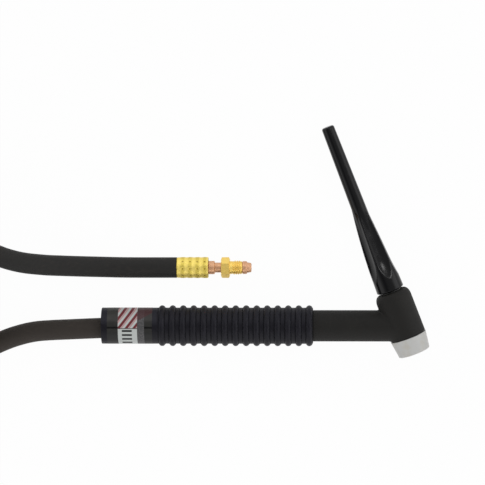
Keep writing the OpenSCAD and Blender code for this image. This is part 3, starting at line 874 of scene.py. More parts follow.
class TORCH_OT_handle(Operator):
    """Turn the ribbed handle"""

    bl_idname = "torch.handle"
    bl_label = "Handle"
    bl_options = {"REGISTER", "UNDO"}

    def execute(self, context):
        handle = context.scene.torch_handle
        shape = spun(handle_outline(handle))
        bmesh.ops.bevel(
            shape,
            geom=self.rib_roots(handle, shape),
            offset=handle.root_round,
            offset_type="OFFSET",
            segments=3,
            profile=0.5,
            affect="EDGES",
            material=-1,
            clamp_overlap=True,
        )
        made = piece("ribbed_handle", shape, HANDLE_PLACE, handle_moulding(handle))
        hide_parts("handle_shell")
        return {"FINISHED"}

    def rib_roots(self, handle, shape):
        """The round edges where the ribs meet the wall."""
        outer = handle.diameter / 2
        roots = []
        for edge in shape.edges:
            radii = [vert.co.xy.length for vert in edge.verts]
            level = abs(edge.verts[0].co.z - edge.verts[1].co.z) < 0.01 * MM
            at_wall = all(abs(radius - outer) < 0.02 * MM for radius in radii)
            past_ends = 1 * MM < edge.verts[0].co.z < HANDLE_LENGTH - 1 * MM
            if level and at_wall and past_ends:
                roots.append(edge)
        return roots


# ---- Label ------------------------------------------------------------------------

# Where the print starts and ends along the handle from its rear end, in millimetres.
PALE_BAND = (12, 25.5)
GREY_STRIP = (25.7, 30.4)
BARS = (14.8, 21.8)
# Where the bars start and the film's fold lies, round the handle, in millimetres.
BARS_TOP = 1
FOLD = (-1.2, 0.2)
# From one stripe and one bar to the next, in millimetres.
STRIPE_PITCH = 5.4
BAR_PITCH = 3


def label_film(handle):
    """A clear film printed with a pale band, a grey strip, slanting stripes and bars."""

    def build(nodes):
        spot = nodes.place(origin=HANDLE_REAR)
        x, y, _ = nodes.split(spot)
        along = x / MM
        across = -(y / MM)
        fine = nodes.noise(spot, 0.6 * MM, detail=3)
        screen = nodes.noise(spot, 0.9 * MM, detail=2, roughness=0.8)
        clouds = nodes.noise(spot, 6 * MM, detail=2)
        pale = nodes.within(along, *PALE_BAND, 0.08)
        strip = nodes.within(along, *GREY_STRIP, 0.08)
        upper = nodes.step(across, 0.2, -0.2)
        slant = ((along + across * 0.8) / STRIPE_PITCH).fraction()
        red = nodes.within(slant, 0.08, 0.5, 0.03) * upper * pale
        pink = nodes.within(slant, 0.56, 0.72, 0.03) * upper * pale
        rim = nodes.within(across, -0.1, 0.35, 0.1) * pale
        bars = nodes.within((across / BAR_PITCH).fraction(), 0.38, 0.86, 0.04)
        bars = bars * nodes.step(across, BARS_TOP, BARS_TOP + 0.2) * nodes.within(along, *BARS, 0.1)
        past_band = nodes.step(along, PALE_BAND[1], PALE_BAND[1] + 0.1)
        corner = nodes.step(across + 0.5 * along, 8.2, 7.2) * past_band
        # Painted shade along the film's fold.
        fold_shade = nodes.within(across, *FOLD, 0.2) * (1 - pale) * (1 - strip)
        # Random dust, plus a painted sheen that makes the film's upper side paler.
        dusty = nodes.step(clouds, 0.3, 0.8) * 0.3 + nodes.step(across, -4, -6) * 0.5
        ink = nodes.blend(dusty, handle.film, handle.film_dust_and_sheen)
        # Painted shade on the film's lower side.
        ink = nodes.blend(nodes.step(across, 1, 4) * 0.9, ink, handle.film_shade)
        ink = nodes.blend(pale, ink, handle.band)
        dotted = nodes.blend(nodes.step(screen, 0.35, 0.65), handle.strip, handle.strip_dots)
        ink = nodes.blend(strip, ink, dotted)
        ink = nodes.blend(red, ink, handle.accent)
        ink = nodes.blend(pink, ink, handle.blush)
        ink = nodes.blend(corner * 0.75, ink, handle.corner)
        ink = nodes.blend((bars * pale + rim).clamped(), ink, handle.ink)
        ink = nodes.blend(fold_shade, ink, handle.fold_shade)
        return {
            "Base Color": ink,
            "Roughness": (0.42 + 0.15 * fine + 0.5 * fold_shade).clamped(),
            "Normal": nodes.bump(fine, 0.02 * MM, 0.4),
        }

    return finish("label_film", build, {"Specular IOR Level": 0.3})


class TORCH_OT_label(Operator):
    """Wrap the label film round the handle's rear part"""

    bl_idname = "torch.label"
    bl_label = "Label"
    bl_options = {"REGISTER", "UNDO"}

    def execute(self, context):
        handle = context.scene.torch_handle
        clear, edge = 0.01 * MM, 0.02 * MM
        inner = handle.diameter / 2 + clear
        outer = handle.diameter / 2 + handle.label_gap
        start, end = handle.label_start, handle.label_start + handle.label_length
        outline = [(inner, start), (outer - edge, start), (outer, start + edge)]
        outline += [(outer, end - edge), (outer - edge, end), (inner, end)]
        made = piece("label_film", spun(outline), HANDLE_PLACE, label_film(handle))
        return {"FINISHED"}


# ---- Head -------------------------------------------------------------------------


def barrel_outline(head):
    """The rubber barrel with its rounded rear shoulder, solid."""
    radius = head.barrel / 2
    outline = [(0, -head.barrel_below), (radius, -head.barrel_below)]
    for across, up in arc((0, 0), 1, 0, 90, 10):
        width = radius - head.shoulder_width * (1 - across)
        outline.append((width, head.barrel_above - head.shoulder_height * (1 - up)))
    return outline + [(0, head.barrel_above)]


def neck_outline(head):
    """The neck and its spigot along the handle's axis, solid."""
    start = HANDLE_LENGTH - head.spigot_length
    front = HANDLE_LENGTH + head.neck_reach
    spigot, neck, edge = head.spigot / 2, head.neck / 2, 0.4 * MM
    return [
        (0, start),
        (spigot - edge, start),
        (spigot, start + edge),
        (spigot, HANDLE_LENGTH),
        (neck, HANDLE_LENGTH),
        (neck, front),
        (0, front),
    ]


def block_room(head):
    """What the brass block fills and the openings at both ends of it, to be cut away."""
    far = 40 * MM
    return [
        (0, -head.barrel_below - far),
        (head.block_room / 2, -head.barrel_below - far),
        (head.block_room / 2, head.block_top),
        (head.lip_hole / 2, head.block_top),
        (head.lip_hole / 2, head.barrel_above + far),
        (0, head.barrel_above + far),
    ]


def tube_room(head):
    """What the gas tube fills along the neck, to be cut away."""
    start = HANDLE_LENGTH - head.spigot_length - 1 * MM
    end = HANDLE_LENGTH + head.neck_reach
    return [(0, start), (head.tube_hole / 2, start), (head.tube_hole / 2, end), (0, end)]


def head_rubber(head):
    """Matt moulded rubber with a fine grain, specks and rubbed bloom."""

    def build(nodes):
        spot = nodes.place(origin=HEAD_MIDDLE)
        clouds = nodes.noise(spot, 14 * MM, detail=3)
        specks = nodes.noise(spot, 0.9 * MM, detail=4, roughness=0.75)
        grain = nodes.noise(spot, 0.35 * MM, detail=2)
        rubbed = nodes.step(clouds, 0.45, 0.8) * nodes.step(specks, 0.45, 0.7)
        colour = nodes.blend(specks * 0.5, head.colour, [0.55 * c for c in head.colour])
        colour = nodes.blend(rubbed * 0.45, colour, head.bloom)
        return {
            "Base Color": colour,
            "Roughness": 0.62 + 0.15 * grain,
            "Normal": nodes.bump(grain * 0.5 + specks * 0.5, 0.08 * MM, 0.55),
        }

    return finish("head_rubber", build, {"Specular IOR Level": 0.25})


class TORCH_OT_head(Operator):
    """Mould the rubber cover of the head and neck in one skin"""

    bl_idname = "torch.head"
    bl_label = "Head cover"
    bl_options = {"REGISTER", "UNDO"}

    def execute(self, context):
        head = context.scene.torch_head
        skin = moved(spun(barrel_outline(head)), HEAD_PLACE)
        added(skin, moved(spun(neck_outline(head)), HANDLE_PLACE))
        made = spare_object("head_skin", skin)
        applied(made, "REMESH", mode="VOXEL", voxel_size=head.voxel)
        self.soften_join(head, made)
        rooms = (block_room(head), HEAD_PLACE, 96), (tube_room(head), HANDLE_PLACE, 48)
        for outline, place, steps in rooms:
            cut(made, "DIFFERENCE", spare_object("room", moved(spun(outline, steps), place)))
        shape = unmeshed(made.data)
        bpy.data.objects.remove(made)
        cover = piece("head_cover_skin", shape, Matrix(), head_rubber(head), crease=40)
        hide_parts("head_cover")
        return {"FINISHED"}

    def soften_join(self, head, made):
        """Round the join of neck and barrel, and even out the skin."""
        shape = unmeshed(made.data)
        inward = HEAD_PLACE.inverted()
        past_middle = HEAD_MIDDLE.x + 4 * MM
        near = []
        for vert in shape.verts:
            spot = inward @ vert.co
            from_barrel = abs(spot.xy.length - head.barrel / 2)
            from_neck = abs((vert.co - HANDLE_REAR).yz.length - head.neck / 2)
            if max(from_barrel, from_neck) < head.join_reach and vert.co.x < past_middle:
                near.append(vert)
        smoothed(shape, near, 8)
        smoothed(shape, shape.verts, 3)
        shape.to_mesh(made.data)
        shape.free()


def gasket_plastic(head):
    """Waxy white plastic with turning marks and a warm stain."""

    def build(nodes):
        spot = nodes.place(origin=HEAD_MIDDLE)
        clouds = nodes.noise(spot, 8 * MM, detail=2)
        along = nodes.place(turn=(0, 0, math.atan2(HEAD_UP.x, HEAD_UP.y)), origin=HEAD_MIDDLE)
        _, y, _ = nodes.split(along)
        marks = nodes.noise(nodes.place(origin=HEAD_MIDDLE), 1.2 * MM, detail=3)
        turning = (y * (TURN / (0.35 * MM)) + marks * 1.5).wave()
        stain = nodes.step(clouds, 0.45, 0.8) * 0.6
        colour = nodes.blend(stain, head.gasket_colour, head.gasket_shade)
        return {
            "Base Color": colour,
            "Roughness": 0.38 + 0.12 * marks,
            "Normal": nodes.bump(turning * 0.3 + marks, 0.02 * MM, 0.5),
        }

    constants = {
        "Subsurface Weight": 0.25,
        "Subsurface Radius": (0.9, 0.85, 0.8),
        "Subsurface Scale": 1.5 * MM,
    }
    return finish("gasket_plastic", build, constants)


class TORCH_OT_gasket(Operator):
    """Turn the cup gasket"""

    bl_idname = "torch.gasket"
    bl_label = "Cup gasket"
    bl_options = {"REGISTER", "UNDO"}

    def execute(self, context):
        head = context.scene.torch_head
        top = -head.barrel_below
        low = top - head.gasket_height
        base, nose = head.gasket_base / 2, head.gasket_nose / 2
        seat, hole = head.nozzle_seat / 2, head.gasket_hole / 2
        room = head.block_nose / 2
        soft, edge = 0.3 * MM, 0.15 * MM
        outline = [
            (room, top),
            (base - edge, top),
            (base, top - edge),
            *arc((nose - head.gasket_round, low + head.gasket_round), head.gasket_round, 0, -90),
            *arc((seat + soft, low + soft), soft, -90, -180, 3),
            (seat, low + head.nozzle_seat_depth),
            (hole + soft, low + head.nozzle_seat_depth),
            (hole, low + head.nozzle_seat_depth + soft),
            (hole, top - head.block_nose_depth),
            (room, top - head.block_nose_depth),
        ]
        made = piece("cup_gasket_ring", spun(outline), HEAD_PLACE, gasket_plastic(head))
        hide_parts("cup_gasket")
        return {"FINISHED"}


# ---- Back cap ---------------------------------------------------------------------


def taper_radius(cap, height):
    """Radius of the cap's collar and swelling taper, before the flutes are cut."""
    if height < cap.collar_height:
        return (cap.base + (cap.collar - cap.base) * height / cap.collar_height) / 2
    share = (height - cap.collar_height) / (cap.waist_height - cap.collar_height)
    straight = (cap.collar + (cap.waist - cap.collar) * share) / 2
    return straight + 4 * cap.swell * share * (1 - share)


def rod_radius(cap, height):
    """Radius of the cap's slim round rod."""
    share = (height - cap.waist_height) / (cap.length - cap.waist_height)
    return (cap.waist + (cap.tip - cap.waist) * share) / 2


def cap_radius(cap, height):
    """Radius of the cap's plain outside at a height above its base."""
    return taper_radius(cap, height) if height < cap.waist_height else rod_radius(cap, height)


def cap_outline(cap):
    """The cap's bores and outside as (radius, height), from pole to pole."""
    tip, base = cap.tip / 2, cap.base / 2
    outline = [
        (0, cap.length - cap.end_wall),
        (cap.bore / 2, cap.length - cap.end_wall),
        (cap.bore / 2, cap.insert_depth),
        (cap.insert_bore / 2, cap.insert_depth),
        (cap.insert_bore / 2, 0),
        *arc((base - cap.base_round, cap.base_round), cap.base_round, -90, 0),
    ]
    start, step = 1.5 * MM, 0.8 * MM
    span = cap.length - cap.tip_round - start
    count = round(span / step)
    for i in range(1, count + 1):
        height = start + span * i / count
        outline.append((cap_radius(cap, height), height))
    outline += arc((tip - cap.tip_round, cap.length - cap.tip_round), cap.tip_round, 0, 90)[1:]
    return outline + [(0, cap.length)]


def soft_least(first, second, softness):
    """The lesser of two lengths, blended where they are close."""
    share = max(0.0, min(1.0, 0.5 + 0.5 * (second - first) / softness))
    return second + (first - second) * share - softness * share * (1 - share)


def fluted_radius(cap, radius, height, angle):
    """The taper's radius at a height and angle, once the flutes are cut."""
    floor = cap.collar / 2 - cap.flute_depth
    slope = (floor - cap.flute_floor / 2) / (cap.waist_height - cap.collar_height)
    dome = cap.flute_run_out * math.sqrt(cap.flute_radius / (2 * cap.flute_depth))
    over = 1 - (taper_radius(cap, cap.flute_start) - floor) / cap.flute_radius
    below = cap.flute_start + dome * math.sqrt(1 - over**2) - height
    hollow = cap.flute_radius**2
    if below > 0:
        hollow *= 1 - min(1.0, below / dome) ** 2
    away = floor - slope * (height - cap.collar_height) + cap.flute_radius
    pitch = TURN / cap.flute_count
    turn = (angle - cap.flute_turn + pitch / 2) % pitch - pitch / 2
    off = hollow - (away * math.sin(turn)) ** 2
    if off <= 0:
        return radius
    hollowed = soft_least(radius, away * math.cos(turn) - math.sqrt(off), cap.edge_round)
    if height < cap.waist_height - cap.rod_root:
        return hollowed
    return -soft_least(-hollowed, -rod_radius(cap, height), cap.edge_round)


def cap_plastic(cap):
    """Deep glossy black plastic with faint flow marks and hairline scratches."""

    def build(nodes):
        tilt = (0, 0, math.atan2(HEAD_UP.x, HEAD_UP.y))
        drawn = nodes.place(scale=(1, 0.12, 1), turn=tilt, origin=HEAD_MIDDLE)
        flow = nodes.noise(drawn, 3 * MM, detail=3)
        hairs = nodes.noise(drawn, 0.35 * MM, detail=2)
        smears = nodes.noise(nodes.place(origin=HEAD_MIDDLE), 7 * MM, detail=3)
        scratched = nodes.step(hairs, 0.6, 0.75)
        colour = nodes.blend(smears * 0.5, cap.colour, [1.35 * c for c in cap.colour])
        return {
            "Base Color": colour,
            "Roughness": 0.16 + 0.12 * nodes.step(smears, 0.4, 0.8) + 0.08 * scratched,
            "Normal": nodes.bump(flow + scratched * 0.1, 0.03 * MM, 0.25),
        }

    return finish("cap_plastic", build, {"Specular IOR Level": 0.2})


class TORCH_OT_back_cap(Operator):
    """Mould the long fluted back cap"""

    bl_idname = "torch.back_cap"
    bl_label = "Back cap"
    bl_options = {"REGISTER", "UNDO"}

    def execute(self, context):
        head, cap = context.scene.torch_head, context.scene.torch_cap
        shape = spun(cap_outline(cap), steps=168)
        for vert in shape.verts:
            radius = vert.co.xy.length
            height = vert.co.z
            outside = radius > cap_radius(cap, height) - cap.tip_round - 0.1 * MM
            if not 2 * MM < height < cap.waist_height or not outside:
                continue
            angle = math.atan2(vert.co.y, vert.co.x)
            vert.co.xy *= fluted_radius(cap, radius, height, angle) / radius
        lift = Matrix.Translation((0, 0, head.barrel_above + cap.gap))
        made = piece("fluted_back_cap", shape, HEAD_PLACE @ lift, cap_plastic(cap), "cap", 50)
        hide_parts("back_cap")
        return {"FINISHED"}


# ---- Hose fitting -----------------------------------------------------------------


def turned_metal(name, colour, mark_size, dull=0.0, origin=FAR_COLLAR):
    """Bright turned metal with tool marks round its axis and a little tarnish."""

    def build(nodes):
        spot = nodes.place(origin=origin)
        x, _, _ = nodes.split(spot)
        wander = nodes.noise(spot, 2.5 * MM, detail=3)
        fine = nodes.noise(nodes.place(scale=(6, 1, 1), origin=origin), 1.2 * MM, detail=3)
        marks = (x * (TURN / mark_size) + wander * 1.2).wave()
        tarnish = nodes.step(wander, 0.42, 0.78)
        dark = [0.62 * colour[0], 0.55 * colour[1], 0.5 * colour[2]]
        shade = nodes.blend(tarnish * (0.25 + dull) + fine * 0.1, colour, dark)
        return {
            "Base Color": shade,
            "Roughness": 0.46 + dull * 0.2 + 0.12 * tarnish + 0.08 * fine,
            "Normal": nodes.bump(marks * 0.5 + fine, 0.012 * MM, 0.5),
        }

    return finish(name, build, {"Metallic": 1.0})


def nut_outline(fitting):
    """The swivel nut's relief, thread core and bore as (radius, height)."""
    hex_front = fitting.hex_length - fitting.hex_back
    relief_end = hex_front + fitting.relief_length
    end = relief_end + fitting.thread_length
    relief, root, bore = fitting.relief / 2, fitting.thread_root / 2, fitting.nut_bore / 2
    back, soft = -fitting.hex_back + 1 * MM, 0.3 * MM
    return [
        (bore, back),
        (relief, back),
        (relief, relief_end - 0.2 * MM),
        (root, relief_end + 0.1 * MM),
        (root, end - 0.5 * MM),
        (root - soft, end),
        (bore + soft, end),
        (bore, end - soft),
    ]


def hexagon(fitting):
    """The nut's hexagon, and the turned outline that rounds its corners off."""
    flats = fitting.hex_flats / 2
    corner = flats / math.cos(math.radians(30))
    back, front = -fitting.hex_back, fitting.hex_length - fitting.hex_back
    shape = bmesh.new()
    bmesh.ops.create_circle(shape, cap_ends=True, segments=6, radius=corner)
    turn = Matrix.Rotation(math.radians(30), 4, "Z")
    moved(shape, Matrix.Translation((0, 0, back)) @ turn)
    body = bmesh.ops.extrude_face_region(shape, geom=shape.faces[:])
    lifted = [part for part in body["geom"] if isinstance(part, bmesh.types.BMVert)]
    bmesh.ops.translate(shape, vec=(0, 0, front - back), verts=lifted)
    tidied(shape)
    face, outer, slope = flats - 0.25 * MM, corner + 0.05 * MM, 0.62 * MM
    round_off = [
        (0, back),
        (face, back),
        (outer, back + slope),
        (outer, front - slope),
        (face, front),
        (0, front),
    ]
    return shape, spun(round_off)


def ferrule_outline(fitting):
    """The ferrule's wall with its crimp rings and rolled ends as (radius, height)."""
    front = -fitting.ferrule_front
    back = front - fitting.ferrule_length
    crest, depth = fitting.ferrule / 2, fitting.crimp_depth
    inner = fitting.ferrule_bore / 2
    stem = fitting.ring / 2 - 0.3 * MM
    edge, wall = 0.55 * MM, 1.5 * MM
    outline = [(inner, back + edge), *arc((inner + edge, back + edge), edge, 180, 270, 3)]
    outline += arc((crest - depth - edge, back + edge), edge, -90, 0, 4)
    count, plain = 84, 1.2 * MM
    low, high = back + plain, front - plain
    for i in range(count + 1):
        height = low + (high - low) * i / count
        phase = (height - (front - fitting.first_crimp)) / fitting.crimp_pitch * TURN
        swell = (0.5 + 0.5 * math.cos(phase)) ** 0.7
        outline.append((crest - depth * (1 - swell), height))
    outline += arc((crest - edge, front - edge), edge, 0, 90, 4)
    return outline + [(stem, front), (stem, front - wall), (inner, front - wall)]


def crimped(fitting, shape):
    """Press the crimping tool's flats, and a dent on each ring, into the ferrule."""
    first = -fitting.ferrule_front - fitting.first_crimp
    outer, wall, soft = fitting.ferrule / 2, 1.2 * MM, 0.15 * MM
    sector = TURN / fitting.flat_count
    for vert in shape.verts:
        radius = vert.co.xy.length
        if radius < outer - wall:
            continue
        angle = math.atan2(vert.co.y, vert.co.x)
        turn = (angle + sector / 2) % sector - sector / 2
        flat = (outer - fitting.flat_depth) / math.cos(turn)
        new = soft_least(radius, flat, soft)
        ring = round((vert.co.z - first) / fitting.crimp_pitch)
        off_ring = (vert.co.z - first - ring * fitting.crimp_pitch) / fitting.dent_length
        off_turn = turn * radius / fitting.dent_width
        new -= fitting.dent_depth * math.exp(-(off_ring**2) - off_turn**2)
        vert.co.xy *= new / radius


def ferrule_metal(fitting):
    """Stamped brass with painted shade on the crimp rings, in random patches, which leaves the
    waists bright, and painted shade in the dents.
    """

    def build(nodes):
        spot = nodes.place(origin=FAR_COLLAR)
        x, y, z = nodes.split(spot)
        radius = (y * y + z * z).root()
        wander = nodes.noise(spot, 3 * MM, detail=4, roughness=0.6)
        fine = nodes.noise(spot, 0.5 * MM, detail=3)
        first = fitting.ferrule_front + fitting.first_crimp
        rings = ((x + first) / fitting.crimp_pitch + 0.5).fraction()
        # Painted shade on the crimp rings' crests, in random patches, so the waists between them
        # look lit.
        ring = nodes.within(rings, 0.26, 0.74, 0.1) * nodes.step(wander, 0.25, 0.55)
        floor = fitting.ferrule / 2 - fitting.flat_depth - fitting.dent_depth
        # Painted shade on the dents' floors.
        dent = nodes.step(radius, floor + 0.26 * MM, floor + 0.06 * MM)
        colour = nodes.blend(ring * 0.65, fitting.ferrule_brass, fitting.crest_shade_brass)
        colour = nodes.blend(dent * 0.7, colour, fitting.dent_shade_brass)
        return {
            "Base Color": colour,
            "Roughness": 0.5 + 0.12 * wander + 0.08 * fine,
            "Normal": nodes.bump(fine + wander, 0.05 * MM, 0.4),
        }

    return finish("ferrule_metal", build, {"Metallic": 1.0})


class TORCH_OT_fitting(Operator):
    bl_idname = "torch.fitting"
    bl_label = "Hose fitting"
    bl_options = {"REGISTER", "UNDO"}

    def execute(self, context):
        fitting = context.scene.torch_fitting
        nut = self.nut(fitting)
        stem = self.stem(fitting)
        ferrule = self.ferrule(fitting)
        return {"FINISHED"}

    def nut(self, fitting):
        """The swivel nut: hexagon, relief and cut thread."""
        plain, round_off = hexagon(fitting)
        body = spare_object("hexagon", plain)
        cut(body, "INTERSECT", spare_object("chamfers", round_off))
        shape = unmeshed(body.data)
        bpy.data.objects.remove(body)
        added(shape, spun(nut_outline(fitting)))
        relief_end = fitting.hex_length - fitting.hex_back + fitting.relief_length
        ridge = helix_ridge(
            fitting.thread_root / 2,
            fitting.thread / 2,
            fitting.thread_pitch,
            relief_end,
            fitting.thread_length - 0.3 * MM,
        )
        added(shape, ridge)
        metal = turned_metal("nut_brass", fitting.brass, 0.3 * MM)
        made = piece("swivel_nut", shape, FAR_PLACE, metal, "swivel_nut", 30)
        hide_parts("far_nut")
        return made

    def stem(self, fitting):
        """The stem: stop ring, neck, sealing collar and coned tip."""
        bore, neck, ring = fitting.gas_bore / 2, fitting.stem / 2, fitting.ring / 2
        collar, tip = fitting.collar / 2, fitting.tip / 2
        back = -fitting.ferrule_front - 1.4 * MM
        ring_back = -fitting.ring_back
        ring_front = ring_back + fitting.ring_length
        end = fitting.collar_length + fitting.tip_length
        soft, tip_round = 0.25 * MM, 0.7 * MM
        outline = [
            (bore, back),
            (neck, back),
            (neck, ring_back),
            (ring - soft, ring_back),
            (ring, ring_back + soft),
            *arc((ring - 2 * soft, ring_front - 2 * soft), 2 * soft, 0, 90, 4),
            (neck + soft, ring_front),
            (neck, ring_front + soft),
            (neck, -soft),
            (neck + soft, 0),
            (collar - soft, 0),
            (collar, soft),
            (collar, fitting.collar_length - 0.5 * MM),
            (collar - 0.35 * MM, fitting.collar_length),
            (fitting.tip_root / 2, fitting.collar_length + 0.05 * MM),
            *arc((tip - tip_round, end - tip_round), tip_round, 10, 90, 4),
            (bore + soft, end),
            (bore, end - soft),
        ]
        metal = turned_metal("stem_copper", fitting.copper, 0.26 * MM)
        made = piece("hose_stem", spun(outline), FAR_PLACE, metal, crease=28)
        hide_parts("far_stem")
        return made

    def ferrule(self, fitting):
        """The crimped ferrule."""
        shape = spun(ferrule_outline(fitting), steps=144)
        crimped(fitting, shape)
        made = piece("crimped_ferrule", shape, FAR_PLACE, ferrule_metal(fitting))
        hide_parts("far_ferrule")
        return made


# ---- Inner pieces -----------------------------------------------------------------


def ring_rubber():
    """Smooth black rubber of the sealing ring."""

    def build(nodes):
        grain = nodes.noise(nodes.place(), 0.4 * MM, detail=3)
        colour = nodes.blend(grain, linear(26, 26, 26), linear(38, 38, 37))
        return {
            "Base Color": colour,
            "Roughness": 0.35 + 0.15 * grain,
            "Normal": nodes.bump(grain, 0.02 * MM, 0.4),
        }

    return finish("ring_rubber", build, {"Specular IOR Level": 0.5})


class TORCH_OT_inner_pieces(Operator):
    """Cut the threads of the head and the cap, and give the inner pieces their finishes"""

    bl_idname = "torch.inner_pieces"
    bl_label = "Inner pieces"
    bl_options = {"REGISTER", "UNDO"}

    def execute(self, context):
        head, cap = context.scene.torch_head, context.scene.torch_cap
        fitting = context.scene.torch_fitting
        brass = turned_metal("block_brass", fitting.brass, 0.3 * MM, 0.25, HEAD_MIDDLE)
        self.collet_thread(head, brass)
        self.insert(head, cap, brass)
        copper = turned_metal("tube_copper", fitting.copper, 0.4 * MM, 0.3, HANDLE_REAR)
        finishes = {
            "head_block": brass,
            "tube_connector": brass,
            "front_nut": brass,
            "front_ferrule": ferrule_metal(fitting),
            "gas_tube": copper,
            "front_stem": copper,
            "front_conductor": copper,
            "far_conductor": copper,
            "back_cap_o_ring": ring_rubber(),
        }
        for node, material in finishes.items():
            for slot in frame["nodes"][node].material_slots:
                slot.material = material
        return {"FINISHED"}

    def collet_thread(self, head, brass):
        """The thread inside the block's nose, for the collet body."""
        ridge = helix_ridge(
            head.collet_thread / 2,
            head.collet_root / 2,
            head.collet_pitch,
            -head.barrel_below - head.block_reach + 0.2 * MM,
            head.collet_length - 0.4 * MM,
        )
        made = piece("collet_body_thread", ridge, HEAD_PLACE, brass, crease=30)

    def insert(self, head, cap, brass):
        """The cap's brass insert with its cut thread."""
        bore, root, shank = cap.bore / 2, cap.thread_root / 2, cap.shank / 2
        top = head.barrel_above - cap.thread_top
        low = top - cap.thread_length
        flange = head.barrel_above + cap.insert_start
        end = head.barrel_above + cap.gap + cap.insert_depth
        outline = [
            (bore + 1 * MM, low),
            (root - 0.5 * MM, low),
            (root, low + 0.5 * MM),
            (root, top - 0.3 * MM),
            (shank, top),
            (shank, flange),
            (cap.insert / 2, flange),
            (cap.insert / 2, end),
            (bore, end),
            (bore, low + 2 * MM),
        ]
        shape = spun(outline)
        thread = cap.thread / 2, cap.thread_pitch, low, cap.thread_length - 0.2 * MM
        added(shape, helix_ridge(root, *thread))
        made = piece("threaded_insert", shape, HEAD_PLACE, brass, "cap", 30)
        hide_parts("back_cap_insert")


# ---- Studio -----------------------------------------------------------------------

# The point that the camera looks at, and the direction from there to the camera.
CAMERA_TARGET = Vector((-15.8, -0.05, 14.25)) * MM
CAMERA_SIDE = Vector((0.041, 0.133, 1)).normalized()
# The floor's width, in metres, and how much of it looks plain white; the rest takes shadow.
FLOOR_WIDTH = 6
FLOOR_WHITE = 0.97
# Each lamp's place and its two sides, in metres.
LAMPS = {
    "key": ((-0.25, 1.7, 1.3), (2.0, 1.2)),
    "fill": ((0.35, -1.6, 1.2), (2.0, 1.2)),
    "spark": ((1.11, 0.72, 1.53), (0.3, 0.3)),
}
# Brightness of what gloss shows, from one side (0) over the top (0.5) to the other (1).
SIDE_BOXES = (
    (0.0, 0.6),
    (0.04, 0.75),
    (0.095, 0.66),
    (0.15, 0.4),
    (0.21, 0.22),
    (0.29, 0.1),
    (0.36, 0.06),
    (0.43, 0.14),
    (0.5, 0.22),
    (0.84, 0.26),
    (0.92, 0.95),
    (1.0, 1.0),
)


def seen_directly(nodes):
    """1 for rays from the camera, from a glossy surface and through glass."""
    rays = nodes.add("ShaderNodeLightPath").socket.node.outputs
    camera, glossy, through = (
        Signal(nodes, rays[name])
        for name in ("Is Camera Ray", "Is Glossy Ray", "Is Transmission Ray")
    )
    return (camera + glossy + through).clamped()


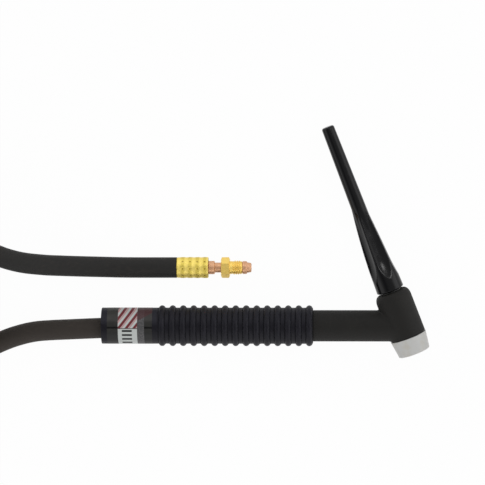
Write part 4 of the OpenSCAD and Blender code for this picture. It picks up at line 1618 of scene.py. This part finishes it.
class TORCH_OT_studio(Operator):
    """Set up the camera, the pale floor, the lamps and the surround"""

    bl_idname = "torch.studio"
    bl_label = "Studio"
    bl_options = {"REGISTER", "UNDO"}

    def execute(self, context):
        studio = context.scene.torch_studio
        context.scene.view_settings.view_transform = "Standard"
        self.camera(context, studio)
        self.floor(context, studio)
        self.surround(context, studio)
        for name, power in (("key", studio.key), ("fill", studio.fill), ("spark", studio.spark)):
            self.lamp(context, name, *LAMPS[name], power)
        return {"FINISHED"}

    def camera(self, context, studio):
        """A long lens high over the torch, with +X to the right in its view."""
        data = bpy.data.cameras.new("camera")
        data.lens = studio.lens
        data.sensor_width = 36
        data.clip_start = 0.05
        data.clip_end = 50
        camera = bpy.data.objects.new("camera", data)
        across = Vector((1, 0, 0))
        across -= CAMERA_SIDE * across.dot(CAMERA_SIDE)
        across.normalize()
        up = CAMERA_SIDE.cross(across)
        turned = Matrix((across, up, CAMERA_SIDE)).transposed().to_4x4()
        spot = CAMERA_TARGET + CAMERA_SIDE * studio.distance
        camera.matrix_world = Matrix.Translation(spot) @ turned
        context.scene.collection.objects.link(camera)
        context.scene.camera = camera

    def floor(self, context, studio):
        """A wide pale floor that keeps a soft shadow."""
        shape = bmesh.new()
        bmesh.ops.create_grid(shape, x_segments=1, y_segments=1, size=FLOOR_WIDTH / 2)
        floor = bpy.data.objects.new("floor", meshed("floor", shape))
        context.scene.collection.objects.link(floor)
        material = bpy.data.materials.new("floor")
        material.use_nodes = True
        nodes = Nodes(material.node_tree)
        lit = nodes.add("ShaderNodeBsdfDiffuse", values={"Color": (*studio.floor, 1)})
        white = nodes.add("ShaderNodeEmission", values={"Color": (1, 1, 1, 1), "Strength": 1})
        share = seen_directly(nodes) * FLOOR_WHITE
        mixed = nodes.add("ShaderNodeMixShader", values={0: share, 1: lit, 2: white})
        nodes.add("ShaderNodeOutputMaterial", values={"Surface": mixed})
        floor.data.materials.append(material)

    def surround(self, context, studio):
        """Bright boxes at both sides for the gloss, dark between them, and an even light."""
        world = bpy.data.worlds.new("surround")
        context.scene.world = world
        world.use_nodes = True
        nodes = Nodes(world.node_tree)
        direction = nodes.add("ShaderNodeTexCoord", output=0)
        x, y, z = nodes.split(direction)
        sideways = x / (x * x + z * z + 0.0001).root()
        boxes = nodes.add("ShaderNodeValToRGB", {"stops": SIDE_BOXES}, {0: sideways * 0.5 + 0.5})
        seen = nodes.blend(nodes.step(abs(y), 0.35, 0.8), boxes, (0.5, 0.5, 0.5))
        glow = nodes.add("ShaderNodeBackground", values={"Color": seen, "Strength": studio.boxes})
        plain = {"Color": (1, 1, 1, 1), "Strength": studio.even}
        even = nodes.add("ShaderNodeBackground", values=plain)
        share = seen_directly(nodes)
        mixed = nodes.add("ShaderNodeMixShader", values={0: share, 1: even, 2: glow})
        nodes.add("ShaderNodeOutputWorld", values={"Surface": mixed})

    def lamp(self, context, name, spot, sides, power):
        """A soft rectangular lamp that faces the torch."""
        data = bpy.data.lights.new(name, "AREA")
        data.shape = "RECTANGLE"
        data.size, data.size_y = sides
        data.energy = power
        lamp = bpy.data.objects.new(name, data)
        aim = (CAMERA_TARGET - Vector(spot)).to_track_quat("-Z", "Y")
        lamp.matrix_world = Matrix.Translation(spot) @ aim.to_matrix().to_4x4()
        context.scene.collection.objects.link(lamp)


# ---- Add-on -----------------------------------------------------------------------

OPERATORS = (
    TORCH_OT_studio,
    TORCH_OT_hose,
    TORCH_OT_handle,
    TORCH_OT_label,
    TORCH_OT_head,
    TORCH_OT_gasket,
    TORCH_OT_back_cap,
    TORCH_OT_fitting,
    TORCH_OT_inner_pieces,
)


class TORCH_PT_looks(Panel):
    """Buttons for the torch's pieces and its studio"""

    bl_idname = "TORCH_PT_looks"
    bl_label = "TIG torch"
    bl_space_type = "VIEW_3D"
    bl_region_type = "UI"
    bl_category = "TIG torch"

    def draw(self, context):
        for operator in OPERATORS:
            self.layout.operator(operator.bl_idname)


def register():
    """Register the settings, the operators and the panel."""
    for name, settings in SETTINGS.items():
        bpy.utils.register_class(settings)
        setattr(bpy.types.Scene, name, PointerProperty(type=settings))
    for operator in OPERATORS:
        bpy.utils.register_class(operator)
    bpy.utils.register_class(TORCH_PT_looks)


def unregister():
    """Take them away again."""
    bpy.utils.unregister_class(TORCH_PT_looks)
    for operator in reversed(OPERATORS):
        bpy.utils.unregister_class(operator)
    for name, settings in reversed(SETTINGS.items()):
        delattr(bpy.types.Scene, name)
        bpy.utils.unregister_class(settings)


def main():
    """Build every piece in order."""
    register()
    for operator in OPERATORS:
        group, name = operator.bl_idname.split(".")
        getattr(getattr(bpy.ops, group), name)()


if __name__ == "__main__":
    main()
